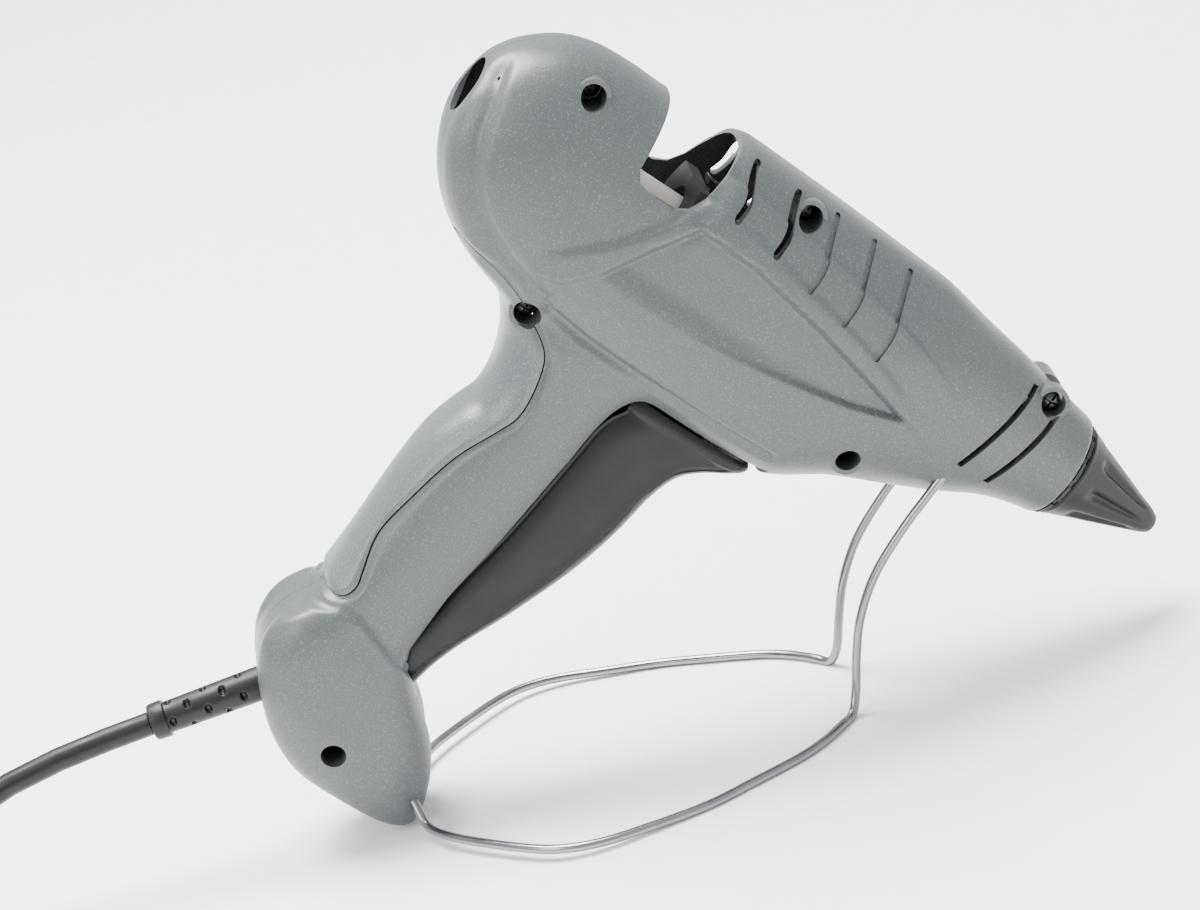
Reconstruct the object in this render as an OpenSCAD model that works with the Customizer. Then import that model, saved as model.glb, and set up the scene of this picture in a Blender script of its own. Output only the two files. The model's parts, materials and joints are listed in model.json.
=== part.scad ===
// Mains hot-melt glue gun for 12 mm sticks, standing nose-down on its bent wire stand.
// Every piece but the cord is drawn in the gun's own frame: X forward along the stick from the
// inlet face, Y to the gun's left, Z up. on_stand() then turns that frame into the rest pose.

/* [Overall] */
// Inlet face to nozzle tip
barrel_len = 233; // [194:1:244]
// Stick axis down to the sole of the foot
handle_len = 185; // [172:1:222]
// Width of the body over the two halves
body_w = 52; // [50:1:64]
// Nose-down angle when the gun stands on its wire
pitch = 49.3; // [46:0.1:50]

/* [Housing] */
// Wall of the moulded halves
wall = 2.5; // [2:0.1:3]
// Opening at the back where sticks go in
inlet_d = 16.5; // [15:0.1:18]
// Counterbore over each housing screw
recess_d = 7; // [6.4:0.1:7.6]
// Diameter of the cover rim where it meets the housing
nose_d = 27.8; // [27:0.1:29]

/* [Feed] */
// Glue stick diameter
stick_d = 11.6; // [10:0.1:12]
// How far the trigger turns, degrees
trigger_turn = 15; // [8:0.5:15]
// Width of the trigger
trigger_w = 24; // [21:0.5:25]
// Drive pin below the lever's pivot
arm_low = 29; // [27:0.5:30]
// Carriage pins above the lever's pivot
arm_high = 16; // [14:0.5:16.5]

/* [Stand and cord] */
// Steel wire of the stand
wire_d = 2.6; // [2:0.1:3]
// Half the width of the stand where it is widest
stand_half = 55; // [45:1:66]
// Cord over its sheath
cord_d = 6.8; // [6:0.1:7.6]
// Strain relief outside the foot
relief_len = 34; // [28:1:40]
// Coil of spare cord, at the middle of its turns
coil_d = 79; // [76:1:90]

/* [Hidden] */
$fn = 48;

e = 0.01;
run = 0.05;      // radial clearance of a turning or sliding fit
gap = 0.4;       // clearance between curved faces
fixed_x = 104;   // the mechanism behind this does not move with barrel_len
fixed_z = -60;   // the mechanism above this does not move with handle_len
kx = (barrel_len - fixed_x) / (233 - fixed_x);
kz = (handle_len + fixed_z) / (185 + fixed_z);
ky = body_w / 52;
function bx(x) = x <= fixed_x ? x : fixed_x + (x - fixed_x) * kx;
function hz(z) = z >= fixed_z ? z : fixed_z + (z - fixed_z) * kz;

// rest pose: the lowest corner of the foot touches the table
foot_corner = [105.4, hz(-184.8)];
lift = foot_corner[0] * sin(pitch) - foot_corner[1] * cos(pitch);
relief_dir = [-0.583, 0, -0.812];
relief_at = [52.3, 0, hz(-185) + 16.6];
function row_x(x, z) = x * cos(pitch) + z * sin(pitch);
function row_z(x, z) = z * cos(pitch) - x * sin(pitch) + lift;
relief_end = relief_at + relief_dir * (relief_len + 4);
rear_x = row_x(relief_end[0], relief_end[2])
  - (cord_d / 2 + 1.6) * abs(relief_dir[0] * sin(pitch) - relief_dir[2] * cos(pitch));
front_x = row_x(barrel_len, 0) + 2 * sin(pitch);
shift = -(rear_x + front_x) / 2;
function on_table(p) = [row_x(p[0], p[2]) + shift, p[1], row_z(p[0], p[2])];
module on_stand() {
  translate([shift, 0, lift])
    rotate([0, pitch, 0])
      children();
}

// ---- lofts: rings of equal length joined by quads, fan caps on convex ends
function ring_faces(n, m) = concat(
  [[for (j = [m - 1:-1:0]) j]],
  [for (i = [0:n - 2]) for (j = [0:m - 1])
    [i * m + j, i * m + (j + 1) % m, (i + 1) * m + (j + 1) % m]],
  [for (i = [0:n - 2]) for (j = [0:m - 1])
    [i * m + j, (i + 1) * m + (j + 1) % m, (i + 1) * m + j]],
  [[for (j = [0:m - 1]) (n - 1) * m + j]]);
function flip(faces) = [for (f = faces) [for (k = [len(f) - 1:-1:0]) f[k]]];
function sgn_pow(v, p) = v == 0 ? 0 : sign(v) * pow(abs(v), p);

// body sections: x, top z, bottom z, half width, squareness
body_rows = [
  [0, 9.4, -10.2, 10.2, 2.1], [1.1, 12, -14.4, 13.2, 2.15], [4, 16.2, -20.2, 16.8, 2.2],
  [9, 21, -26.8, 20, 2.25], [16, 25.4, -32.8, 22.4, 2.3], [25, 27.8, -37.6, 24, 2.35],
  [36, 28.2, -41.4, 25, 2.4], [46, 27.9, -44.2, 25.6, 2.45], [67, 29.4, -46.2, 26, 2.5],
  [90, 28.8, -46.8, 26, 2.5], [110, 28, -47, 25.5, 2.5], [125, 27.2, -46.6, 24.7, 2.4],
  [132, 26.8, -44.2, 24.2, 2.35], [143.5, 26, -37, 23, 2.3], [158, 23.2, -31, 20.9, 2.2],
  [172, 20.9, -25, 18.6, 2.1], [183, 18.6, -19.4, 16.9, 2.05], [192, 16.9, -16.6, 15.9, 2],
  [199.6, 15.5, -15.2, 15.3, 2]];
// handle and foot sections: z, back x, front x, half width, squareness
grip_rows = [
  [-30, 46, 88, 17, 2.5], [-42, 40.5, 91, 19.2, 2.5], [-50, 45.2, 86.5, 18.3, 2.5],
  [-59, 49, 84.5, 17.4, 2.5], [-68.5, 50, 84, 17, 2.5], [-76, 47.4, 83.6, 17, 2.5],
  [-86, 44.8, 83, 17, 2.5], [-100.6, 44, 81.6, 17, 2.5], [-121, 44.4, 78.8, 17, 2.5],
  [-136, 44.8, 76.6, 17.2, 3.4], [-141, 44.4, 77, 17.5, 3.9], [-147, 41, 80.6, 18.4, 4.2],
  [-152, 39.9, 86.4, 19, 4], [-158, 39.9, 93.8, 19.4, 3.6], [-163.5, 41.8, 98.8, 19.4, 3.2],
  [-170, 46, 103, 19.2, 2.9], [-178, 53.4, 106.8, 17.6, 2.6], [-182.4, 59.4, 107.4, 15.2, 2.6],
  [-184.8, 63.5, 105.4, 12.6, 2.6]];

body_n = len(body_rows);
grip_n = len(grip_rows);
half_m = 12;
function body_ring(r, d, dx, a0, a1, m) =
  let (zc = (r[1] + r[2]) / 2, h = (r[1] - r[2]) / 2 - d, w = r[3] * ky - d, p = 2 / r[4])
  [for (k = [0:m - 1])
    let (a = a0 + (a1 - a0) * k / (m - 1))
    [bx(r[0]) + dx, w * sgn_pow(sin(a), p), zc + h * sgn_pow(cos(a), p)]];
function grip_ring(r, d, dz, a0, a1, m) =
  let (xc = (r[1] + r[2]) / 2, h = (r[2] - r[1]) / 2 - d, w = r[3] * ky - d, p = 2 / r[4])
  [for (k = [0:m - 1])
    let (a = a0 + (a1 - a0) * k / (m - 1))
    [xc - h * sgn_pow(cos(a), p), w * sgn_pow(sin(a), p), hz(r[0]) + dz]];

// a half is a D section closed at y = 0; the full section is used for hollows
module body_half(d, past = 0) {
  pts = [for (i = [0:body_n - 1])
    let (dx = i == 0 ? d : i == body_n - 1 ? past : 0)
    each body_ring(body_rows[i], d, dx, 0, 180, half_m)];
  polyhedron(pts, ring_faces(body_n, half_m), convexity = 6);
}
module body_full(d, past = 0) {
  m = 2 * half_m - 2;
  pts = [for (i = [0:body_n - 1])
    let (dx = i == 0 ? d : i == body_n - 1 ? past : 0)
    each body_ring(body_rows[i], d, dx, 0, 360 - 360 / m, m)];
  polyhedron(pts, ring_faces(body_n, m), convexity = 6);
}
module grip_half(d) {
  pts = [for (i = [0:grip_n - 1])
    each grip_ring(grip_rows[i], d, i == grip_n - 1 ? d : 0, 0, 180, half_m)];
  polyhedron(pts, flip(ring_faces(grip_n, half_m)), convexity = 6);
}
module grip_full(d) {
  m = 2 * half_m - 2;
  pts = [for (i = [0:grip_n - 1])
    each grip_ring(grip_rows[i], d, i == grip_n - 1 ? d : 0, 0, 360 - 360 / m, m)];
  polyhedron(pts, flip(ring_faces(grip_n, m)), convexity = 6);
}

// a prism through the gun: points are [x, z]
module side_prism(pts, y0, y1) {
  translate([0, y1, 0])
    rotate([90, 0, 0])
      linear_extrude(y1 - y0)
        polygon(pts);
}
module across(x, z, d, y0, y1) {
  translate([x, y1, z])
    rotate([90, 0, 0])
      cylinder(d = d, h = y1 - y0);
}
module along(x0, x1, d0, d1, y = 0, z = 0) {
  translate([x0, y, z])
    rotate([0, 90, 0])
      cylinder(d1 = d0, d2 = d1, h = x1 - x0);
}
module rod(p, q, d) {
  v = q - p;
  translate(p)
    rotate([0, acos(v[2] / norm(v)), atan2(v[1], v[0])])
      cylinder(d = d, h = norm(v));
}

// ---- swept tubes: frames are carried along hand-set points
function unit(v) = v / norm(v);
function curve_at(p, i, t) =
  let (n = len(p), a = p[max(i - 1, 0)], b = p[i], c = p[i + 1], d = p[min(i + 2, n - 1)])
  0.5 * (2 * b + (c - a) * t + (2 * a - 5 * b + 4 * c - d) * t * t
    + (3 * b - a - 3 * c + d) * t * t * t);
function smooth(p, k) = concat(
  [for (i = [0:len(p) - 2]) for (j = [0:k - 1]) curve_at(p, i, j / k)], [p[len(p) - 1]]);
function tangent(c, i) = unit(c[min(i + 1, len(c) - 1)] - c[max(i - 1, 0)]);
function carry(u, t) = unit(u - t * (u * t));
function frames(c, u, i = 0) = i == len(c) ? [] :
  let (w = carry(u, tangent(c, i))) concat([w], frames(c, w, i + 1));
module tube(c, d, m, u) {
  f = frames(c, u);
  pts = [for (i = [0:len(c) - 1])
    let (t = tangent(c, i), v = cross(t, f[i]))
    for (j = [0:m - 1])
      c[i] + (f[i] * cos(360 * j / m) + v * sin(360 * j / m)) * d / 2];
  polyhedron(pts, flip(ring_faces(len(c), m)), convexity = 10);
}

// ---- places shared by several pieces
screws = [[25.5, 18.2], [46, -41], [94, 22.2], [bx(183), 15.2], [bx(142), -27],
  [72.5, hz(-173.6)]];
screw_reach = [17.6, 12.4, 14.4, 10.8, 16.8, 17.6];
boss_d = 10;
screw_d = 3;
seat_y = 6;
pocket_depth = 1.7; // depth of the soft insert's seat in the wall
pivot = [75, hz(-143.5)];
pivot_d = 4;
lever = [84, -16];
lever_swing = trigger_turn * 3.86; // follows from the two arm lengths
drive = [lever[0] + arm_low * sin(lever_swing / 2), lever[1] - arm_low * cos(lever_swing / 2)];
carriage_x = lever[0] - arm_high * sin(lever_swing / 2);
carriage_travel = 2 * arm_high * sin(lever_swing / 2);
rod_y = 14.5;
rod_d = 3;
wire_y = 14;
wire_x = bx(168.5);
wire_hole = wire_d + 0.3;
chamber_d = 18;
support_r = 19;
front_r = 13;
slot_open = trigger_w / 2 + 0.8;
bracket_x = 65;
support_x = bx(106);
stick_end = 50;

module screw_bosses(side) {
  for (i = [0:len(screws) - 1])
    across(screws[i][0], screws[i][1], boss_d,
      side > 0 ? 0 : -screw_reach[i], side > 0 ? screw_reach[i] : 0);
}
// a flat rib that fills the inside of one half between x0 and x1
module body_rib(x0, x1) {
  intersection() {
    body_half(1.2, 0);
    translate([x0, -60, -60])
      cube([x1 - x0, 120, 120]);
  }
}
module handle_rib(z0, z1, x0, x1) {
  intersection() {
    grip_half(1.2);
    translate([x0, -60, z0])
      cube([x1 - x0, 120, z1 - z0]);
  }
}

insert_edge = [[12, -42], [19, -34.4], [31, -35.2], [40, -37.6], [46.1, -40.8], [53.7, -45.3],
  [57.4, -50], [60, -59], [60.4, -66.6], [58, -73.2], [53, -85.3], [49.9, -101.2], [48.5, -115.1],
  [50.6, -126], [51.4, -130.6], [49, -135.2], [39.8, -137], [20, -137], [12, -60]];
function insert_pts(d) = [for (p = insert_edge) [p[0] - d, hz(p[1])]];

window = [[45.6, 50], [45.6, 10], [47.4, 7], [50.5, 6], [59.5, 6], [63, 8], [65.6, 12.5],
  [67.6, 20], [69.5, 31], [71, 50]];

module housing_half() {
  // drawn on the left (+Y) side; the right half is its mirror image with counterbores
  difference() {
    union() {
      difference() {
        union() {
          body_half(0);
          grip_half(0);
        }
        body_full(wall, 2);
        grip_full(wall);
      }
      intersection() {
        union() {
          body_half(wall / 2);
          grip_half(wall / 2);
        }
        union() {
          screw_bosses(1);
          across(pivot[0], pivot[1], 9, trigger_w / 2 + 0.6, 30);
          across(lever[0], lever[1], 9, 12.6, 40);
          translate([wire_x, wire_y, -24])
            cylinder(d = 7, h = 13);
          translate([wire_x - 2.4, wire_y, -24])
            cube([4.8, 20, 13]);
        }
      }
      // the inlet bush is held from above and below
      difference() {
        body_rib(5, 8);
        translate([4, 5, -6])
          cube([5, 40, 12]);
      }
      body_rib(bracket_x + 0.6, bracket_x + 3.4);
      body_rib(support_x + 2.5, support_x + 5.5);
      body_rib(bx(187.5), bx(190.5));
      handle_rib(hz(-151.4), hz(-149.6), 60, 76);
    }
    // stick inlet and the seats of the parts on the stick axis
    along(-1, 9, inlet_d, inlet_d);
    along(4, 9, 19 + 2 * run, 19 + 2 * run);
    along(bracket_x - 1, bracket_x + 5, 37 + 2 * run, 37 + 2 * run);
    along(support_x, support_x + 8, 2 * (support_r + run), 2 * (support_r + run));
    along(bx(180), bx(202), 2 * (front_r + run), 2 * (front_r + run));
    // the ribs are open below the stick for the lever, and above it at the window
    translate([bracket_x - 3, -1, -60])
      cube([9, 12, 50]);
    translate([bracket_x - 3, 10, -46])
      cube([9, 6.4, 17]);
    translate([support_x, -1, -42])
      cube([9, 17, 24]);
    // window and trigger opening
    side_prism(window, -1, 40);
    side_prism([[71, -37], [127.6, -37], [127.6, -60], [100, hz(-149.8)],
        [69.4, hz(-149.8)], [69.4, hz(-105)], [71, hz(-100)]],
      -1, slot_open);
    // cooling slots in the top and round the nose
    for (s = [[75, 13], [89, 11]])
      translate([s[0] - 1.3, 9, s[1]])
        cube([2.6, 30, 13.5]);
    for (s = [bx(172), bx(182)])
      translate([s, 3, 1.5])
        rotate([0, 14, 0])
          translate([-1.1, 0, -14.5])
            cube([2.2, 30, 29]);
    for (s = [[102, 25.9, 16.6], [bx(114.5), 25.4, 16], [bx(128), 24.5, 15]])
      translate([s[0] - 1, s[1] * ky, 3])
        rotate([s[2] + 5.5, 0, 0])
          cube([2, 6, 21]);
    // screw and pin holes
    for (s = screws)
      across(s[0], s[1], screw_d + 2 * run, -1, 10.6);
    across(pivot[0], pivot[1], pivot_d + 2 * run, 0, 14.6);
    across(lever[0], lever[1], 4 + 2 * run, 0, 17);
    // sockets for the wire: blind in the body, a slanted hole at the foot
    translate([wire_x, wire_y, -40])
      cylinder(d = wire_hole, h = 26);
    rod(foot_wire_in, foot_wire_out, wire_hole + 0.5);
    // pocket of the soft insert
    difference() {
      side_prism(insert_pts(0), -1, 40);
      union() {
        body_full(pocket_depth);
        grip_full(pocket_depth);
      }
    }
    // relief hole in the back of the foot
    rod(relief_at - relief_dir * 3, relief_at + relief_dir * 9, cord_d + 3.4);
  }
}

foot_wire_in = [94, 8, hz(-185) + 12];
foot_wire_out = [106.5, 21, hz(-185) + 8];

module housing_left() {
  color("#8c9496")
    housing_half();
}
module housing_right() {
  color("#8c9496")
    difference() {
      mirror([0, 1, 0])
        housing_half();
      for (i = [0:len(screws) - 1])
        across(screws[i][0], screws[i][1], recess_d, -screw_reach[i] - 14, -seat_y);
    }
}
module grip_insert() {
  color("#9aa2a4")
    difference() {
      intersection() {
        union() {
          body_full(-0.25);
          grip_full(-0.25);
        }
        side_prism(insert_pts(0.35), -40, 40);
      }
      body_full(pocket_depth - run);
      grip_full(pocket_depth - run);
      across(screws[1][0], screws[1][1], recess_d + 1, -40, 12);
    }
}
module inlet_bush() {
  color("#2b2b2d")
    difference() {
      union() {
        along(4.4, 12, 19, 19);
        along(12 - e, 13.5, 19, 17);
      }
      along(3, 15, 13, 13);
      along(4.4 - e, 6.4, 15, 13);
    }
}
module housing_screws() {
  color("#56585c")
    for (i = [0:len(screws) - 1])
      translate([screws[i][0], 0, screws[i][1]])
        difference() {
          union() {
            across(0, 0, 5.8, -seat_y - 2.6, -seat_y);
            across(0, 0, screw_d, -seat_y - 0.5, 9.6);
          }
          across(0, 0, 1.9, -seat_y - 2.7, -seat_y - 1.2);
        }
}

// trigger sections: z, back x, front x, half width share, squareness
trigger_rows = [
  [-45.4, 82, 124.6, 0.93, 3.4], [-47.4, 82, 125.4, 1, 3.4], [-50.2, 81.8, 122.4, 1, 3.2],
  [-54.2, 79.6, 115.8, 1, 3], [-59.4, 78.6, 110.4, 1, 3], [-68.1, 78.2, 107.4, 1, 3],
  [-82, 77.2, 105.4, 1, 3], [-97.3, 76, 101.6, 1, 3], [-115.7, 73.6, 94.8, 1, 3],
  [-130.4, 72.2, 88.2, 1, 3], [-139.2, 71.6, 85, 1, 3], [-148.4, 74, 83, 0.94, 3]];
module trigger_loft(d, dw, back) {
  m = 20;
  n = len(trigger_rows);
  pts = [for (i = [0:n - 1])
    let (r = trigger_rows[i], x0 = r[1] + back, x1 = r[2] - d, p = 2 / r[4],
      w = r[3] * trigger_w / 2 - dw, dz = i == 0 ? -d : i == n - 1 ? d : 0)
    for (k = [0:m - 1])
      let (a = 360 * k / m)
      [(x0 + x1) / 2 - (x1 - x0) / 2 * sgn_pow(cos(a), p), w * sgn_pow(sin(a), p),
        hz(r[0]) + dz]];
  polyhedron(pts, flip(ring_faces(n, m)), convexity = 6);
}
module trigger() {
  color("#333235")
    difference() {
      union() {
        difference() {
          trigger_loft(0, 0, 0);
          trigger_loft(2.6, 2.4, -12);
          // room for the lever's arm through the top
          translate([70, -4, -60])
            cube([42, 8, 30]);
          translate([60, -8.4, -70])
            cube([26, 16.8, 40]);
        }
        // hub on the pivot pin and the two ears of the drive pin
        across(pivot[0], pivot[1], pivot_d + 5, -trigger_w / 2 + 0.2, trigger_w / 2 - 0.2);
        for (s = [-1, 1])
          translate([0, s > 0 ? 4.2 : -7.4, 0])
            side_prism([[drive[0] - 4.4, -56], [drive[0] - 4.4, drive[1] + 1.6],
              [drive[0] - 2.4, drive[1] + 3.6], [drive[0] + 2.4, drive[1] + 3.6],
              [drive[0] + 4.4, drive[1] + 1.6], [drive[0] + 14, -48], [drive[0] + 14, -56]],
              0, 3.2);
      }
      across(pivot[0], pivot[1], pivot_d + 2 * run, -20, 20);
      across(drive[0], drive[1], 4, -8, 8);
    }
}
module trigger_pin() {
  color("#b9bcc0")
    across(pivot[0], pivot[1], pivot_d, -14.4, 14.4);
}
module drive_pin() {
  color("#b9bcc0")
    across(drive[0], drive[1], 4 - 2 * run, -7.4, 7.4);
}
spring_z = -78;
spring_x0 = 52.2;
spring_x1 = 102;
spring_d = 11;
spring_turns = 8;
module trigger_spring() {
  k = 10;
  c = [for (i = [0:spring_turns * k])
    let (a = 360 * i / k, x = spring_x0 + 0.9 + (spring_x1 - spring_x0 - 1.8) * i / k / spring_turns)
    [x, cos(a) * (spring_d - 1.2) / 2, spring_z + sin(a) * (spring_d - 1.2) / 2]];
  color("#b9bcc0")
    tube(c, 1.2, 6, [1, 0, 0]);
}
lever_low = arm_low + 5.4;
module lever_turned() {
  translate([lever[0], 0, lever[1]])
    rotate([0, -lever_swing / 2, 0])
      children();
}
module feed_lever() {
  color("#c9c4b4")
    lever_turned()
      difference() {
        union() {
          across(0, 0, 9, -10.8, 10.8);
          side_prism([[-4, 0], [4, 0], [5, -arm_low - 3], [2, -lever_low], [-2, -lever_low],
            [-5, -arm_low - 3]], -3.4, 3.4);
          for (s = [-1, 1])
            translate([0, s > 0 ? 8.6 : -10.8, 0])
              side_prism([[-4.4, 0], [4.4, 0], [4.6, arm_high + 1.6], [2.6, arm_high + 4],
                [-2.6, arm_high + 4], [-4.6, arm_high + 1.6]], 0, 2.2);
        }
        across(0, 0, 4 + 2 * run, -12, 12);
        // slots: the drive pin and the carriage pins run in them with clearance
        translate([-3.3, -5, -arm_low - 2.6])
          cube([6.6, 10, 11.2]);
        translate([-2.5, -12, arm_high - 4])
          cube([5, 24, 9]);
      }
}
module lever_pin() {
  color("#b9bcc0")
    across(lever[0], lever[1], 4, -16.8, 16.8);
}
pin_z = lever[1] + arm_high - 1;
module feed_carriage() {
  color("#4c4f54")
    translate([carriage_x, 0, 0])
      difference() {
        union() {
          along(-6, 6, 16.6, 16.6);
          translate([-4, -5.8, 5])
            cube([8, 11.6, 8.4]);
          across(0, pin_z, 4, -13, 13);
          for (s = [-1, 1])
            along(-5, 5, 7, 7, s * rod_y, pin_z);
        }
        along(-7, 7, stick_d + 0.8, stick_d + 0.8);
        translate([-8, -3.6, 0])
          cube([16, 7.2, 16]);
        across(0.6, 10.4, 2.5 + 2 * run, -8, 8);
        for (s = [-1, 1])
          along(-7, 7, rod_d + 2 * run, rod_d + 2 * run, s * rod_y, pin_z);
      }
}
module guide_rods() {
  color("#c4c7ca")
    for (s = [-1, 1])
      along(bracket_x + 1, support_x + 4, rod_d, rod_d, s * rod_y, pin_z);
}
module guide_bracket() {
  color("#4c4f54")
    difference() {
      along(bracket_x, bracket_x + 4, 37, 37);
      along(bracket_x - 1, bracket_x + 5, stick_d + 2.4, stick_d + 2.4);
      along(bracket_x - 1, bracket_x + 1.5, 18, stick_d + 2.4);
      translate([bracket_x - 1, -20, 12.2])
        cube([6, 40, 10]);
      for (s = [-1, 1])
        along(bracket_x + 1 - e, bracket_x + 5, rod_d + 2 * run, rod_d + 2 * run, s * rod_y, pin_z);
    }
}
jaw = [carriage_x + 0.6, 10.4];
module clamp_jaw() {
  color("#8f9296")
    difference() {
      union() {
        across(jaw[0], jaw[1], 5.6, -3.2, 3.2);
        side_prism([[jaw[0] - 2.6, 10], [jaw[0] - 3.4, stick_d / 2 + 1.1],
          [jaw[0] - 1.6, stick_d / 2 + 0.9], [jaw[0] - 0.4, stick_d / 2 + 1.3],
          [jaw[0] + 2.6, 9.6]], -3.2, 3.2);
        side_prism([[jaw[0] - 1, 12.4], [jaw[0] - 8.4, 14.6], [jaw[0] - 8, 12.8],
          [jaw[0] - 2.4, 9.8]], -3.2, 3.2);
      }
      across(jaw[0], jaw[1], 2.5 + 2 * run, -5, 5);
    }
}
module clamp_pin() {
  color("#b9bcc0")
    across(jaw[0], jaw[1], 2.5, -6.2, 6.2);
}
module clamp_spring() {
  // a thin leaf clipped in the carriage roof that presses the jaw's tail
  color("#b9bcc0")
    side_prism([[carriage_x - 6.4, 7.2], [carriage_x - 6, 7.2], [carriage_x - 6, 9.4],
      [carriage_x - 6.2, 10.9], [carriage_x - 6.6, 11], [carriage_x - 6.4, 9.4]], -2.6, 2.6);
}
module glue_stick() {
  color("#f1efe4")
    along(stick_end, bx(161), stick_d, stick_d);
}
module inlet_sleeve() {
  color("#242426")
    difference() {
      union() {
        along(100.6, support_x + 1.4, 15.4, 15.4);
        along(support_x + 1.4 - e, support_x + 12, 14.4, 14.4);
      }
      along(100, support_x + 13, stick_d + 0.7, stick_d + 0.7);
    }
}
chamber_x = support_x + 6;
module melt_chamber() {
  color("#c3c6c9")
    difference() {
      union() {
        along(chamber_x, bx(198), chamber_d, chamber_d);
        for (x = [130, 136, 142, 148, 154, 160])
          along(bx(x), bx(x) + 2, 23, 23);
        translate([bx(128), -8.5, -17.6])
          cube([bx(168) - bx(128), 17, 15]);
      }
      along(chamber_x - 1, support_x + 12.4, 14.4 + 2 * run, 14.4 + 2 * run);
      along(chamber_x, bx(177), stick_d + 0.7, stick_d + 0.7);
      along(bx(177) - e, bx(186), stick_d + 0.7, 5);
      along(bx(180), bx(199), 5, 5);
      along(bx(190), bx(199), 10, 10);
      translate([bx(127), -6, -15])
        cube([bx(170) - bx(127), 12, 4.4]);
      for (s = [134, 162])
        translate([bx(s), 0, -18])
          cylinder(d = 2.5, h = 6);
    }
}
module heaters() {
  color("#d8d2c0")
    for (x = [130.5, 149.5])
      translate([bx(x), -5.7, -14.7])
        cube([16 * kx, 11.4, 3.8]);
}
module heater_plate() {
  color("#a9adb1")
    difference() {
      translate([bx(130), -8.5, -19.4])
        cube([bx(166) - bx(130), 17, 1.8]);
      for (s = [134, 162])
        translate([bx(s), 0, -20])
          cylinder(d = 2.7, h = 3);
    }
}
module plate_screws() {
  color("#56585c")
    for (s = [134, 162])
      translate([bx(s), 0, 0]) {
        translate([0, 0, -21])
          cylinder(d = 4.6, h = 1.6);
        translate([0, 0, -19.4 - e])
          cylinder(d = 2.4, h = 4.2);
      }
}
module thermal_fuse() {
  color("#c9cbce")
    union() {
      along(bx(151), bx(162), 4, 4, -6, -21.6);
      along(bx(148), bx(165), 1, 1, -6, -21.6);
    }
}
module rear_support() {
  color("#bdb6a2")
    difference() {
      union() {
        along(support_x, support_x + 8, 2 * support_r, 2 * support_r);
      }
      along(chamber_x, support_x + 9, chamber_d + 2 * run, chamber_d + 2 * run);
      along(support_x - 1, support_x + 9, 15.4 + 2 * run, 15.4 + 2 * run);
      for (s = [-1, 1])
        along(support_x - 1, support_x + 4, rod_d + 2 * run, rod_d + 2 * run, s * rod_y, pin_z);
    }
}
module front_support() {
  color("#bdb6a2")
    difference() {
      along(bx(185), bx(193), 2 * front_r, 2 * front_r);
      along(bx(184), bx(194), chamber_d + 2 * run, chamber_d + 2 * run);
      // cut away round the screw post above it
      across(screws[3][0], screws[3][1], boss_d + 0.8, -20, 20);
    }
}
nozzle_x = bx(191);
cover_x = bx(201);
tip_r = 2.7;
module nozzle() {
  color("#c2a14d")
    difference() {
      union() {
        along(nozzle_x, bx(198) + e, 9.9, 9.9);
        translate([bx(198), 0, 0])
          rotate([0, 90, 0])
            cylinder(d = 15, h = 6, $fn = 6);
        along(bx(198) + 6 - e, barrel_len - 5, 12.4, 5.2);
        along(barrel_len - 5 - e, barrel_len - 2.4, 5.2, 3.4);
      }
      along(nozzle_x - 1, barrel_len - 12, 5, 5);
      along(barrel_len - 12 - e, barrel_len - 2, 5, 1.8);
    }
}
module nozzle_cover() {
  // silicone cone with eight long flutes
  cone_l = barrel_len - cover_x;
  color("#3a393b")
    difference() {
      translate([cover_x, 0, 0])
        rotate([0, 90, 0])
          rotate_extrude()
            polygon([[8.9, 0], [nose_d / 2 - 0.5, 0], [nose_d / 2, 0.6], [nose_d / 2, 2.4],
              [tip_r + 0.9, cone_l - 1.2], [tip_r, cone_l - 0.3], [tip_r - 0.6, cone_l],
              [1.2, cone_l], [1.2, cone_l - 1.9], [2.2, cone_l - 2], [3.1, cone_l - 5],
              [6.7, 4.6], [8.9, 4.2]]);
      for (a = [0:45:315])
        rotate([a + 22.5, 0, 0])
          translate([cover_x + 5, 0, 13.9])
            rotate([0, 18, 0])
              along(0, cone_l * 0.55, 3, 1.2);
    }
}
module nozzle_collar() {
  // black ring with notches between the housing rim and the cover
  color("#1f1f21")
    difference() {
      union() {
        along(bx(197), cover_x - 0.2, 2 * front_r - 0.8, 2 * front_r - 0.8);
        along(bx(199.9), cover_x - 0.2, nose_d + 1.4, nose_d + 1.4);
      }
      along(bx(196), cover_x + 1, chamber_d + 0.8, chamber_d + 0.8);
      for (a = [0:30:330])
        rotate([a, 0, 0])
          translate([bx(199.9) - 1, -1, nose_d / 2])
            cube([3, 2, 3]);
    }
}

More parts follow.
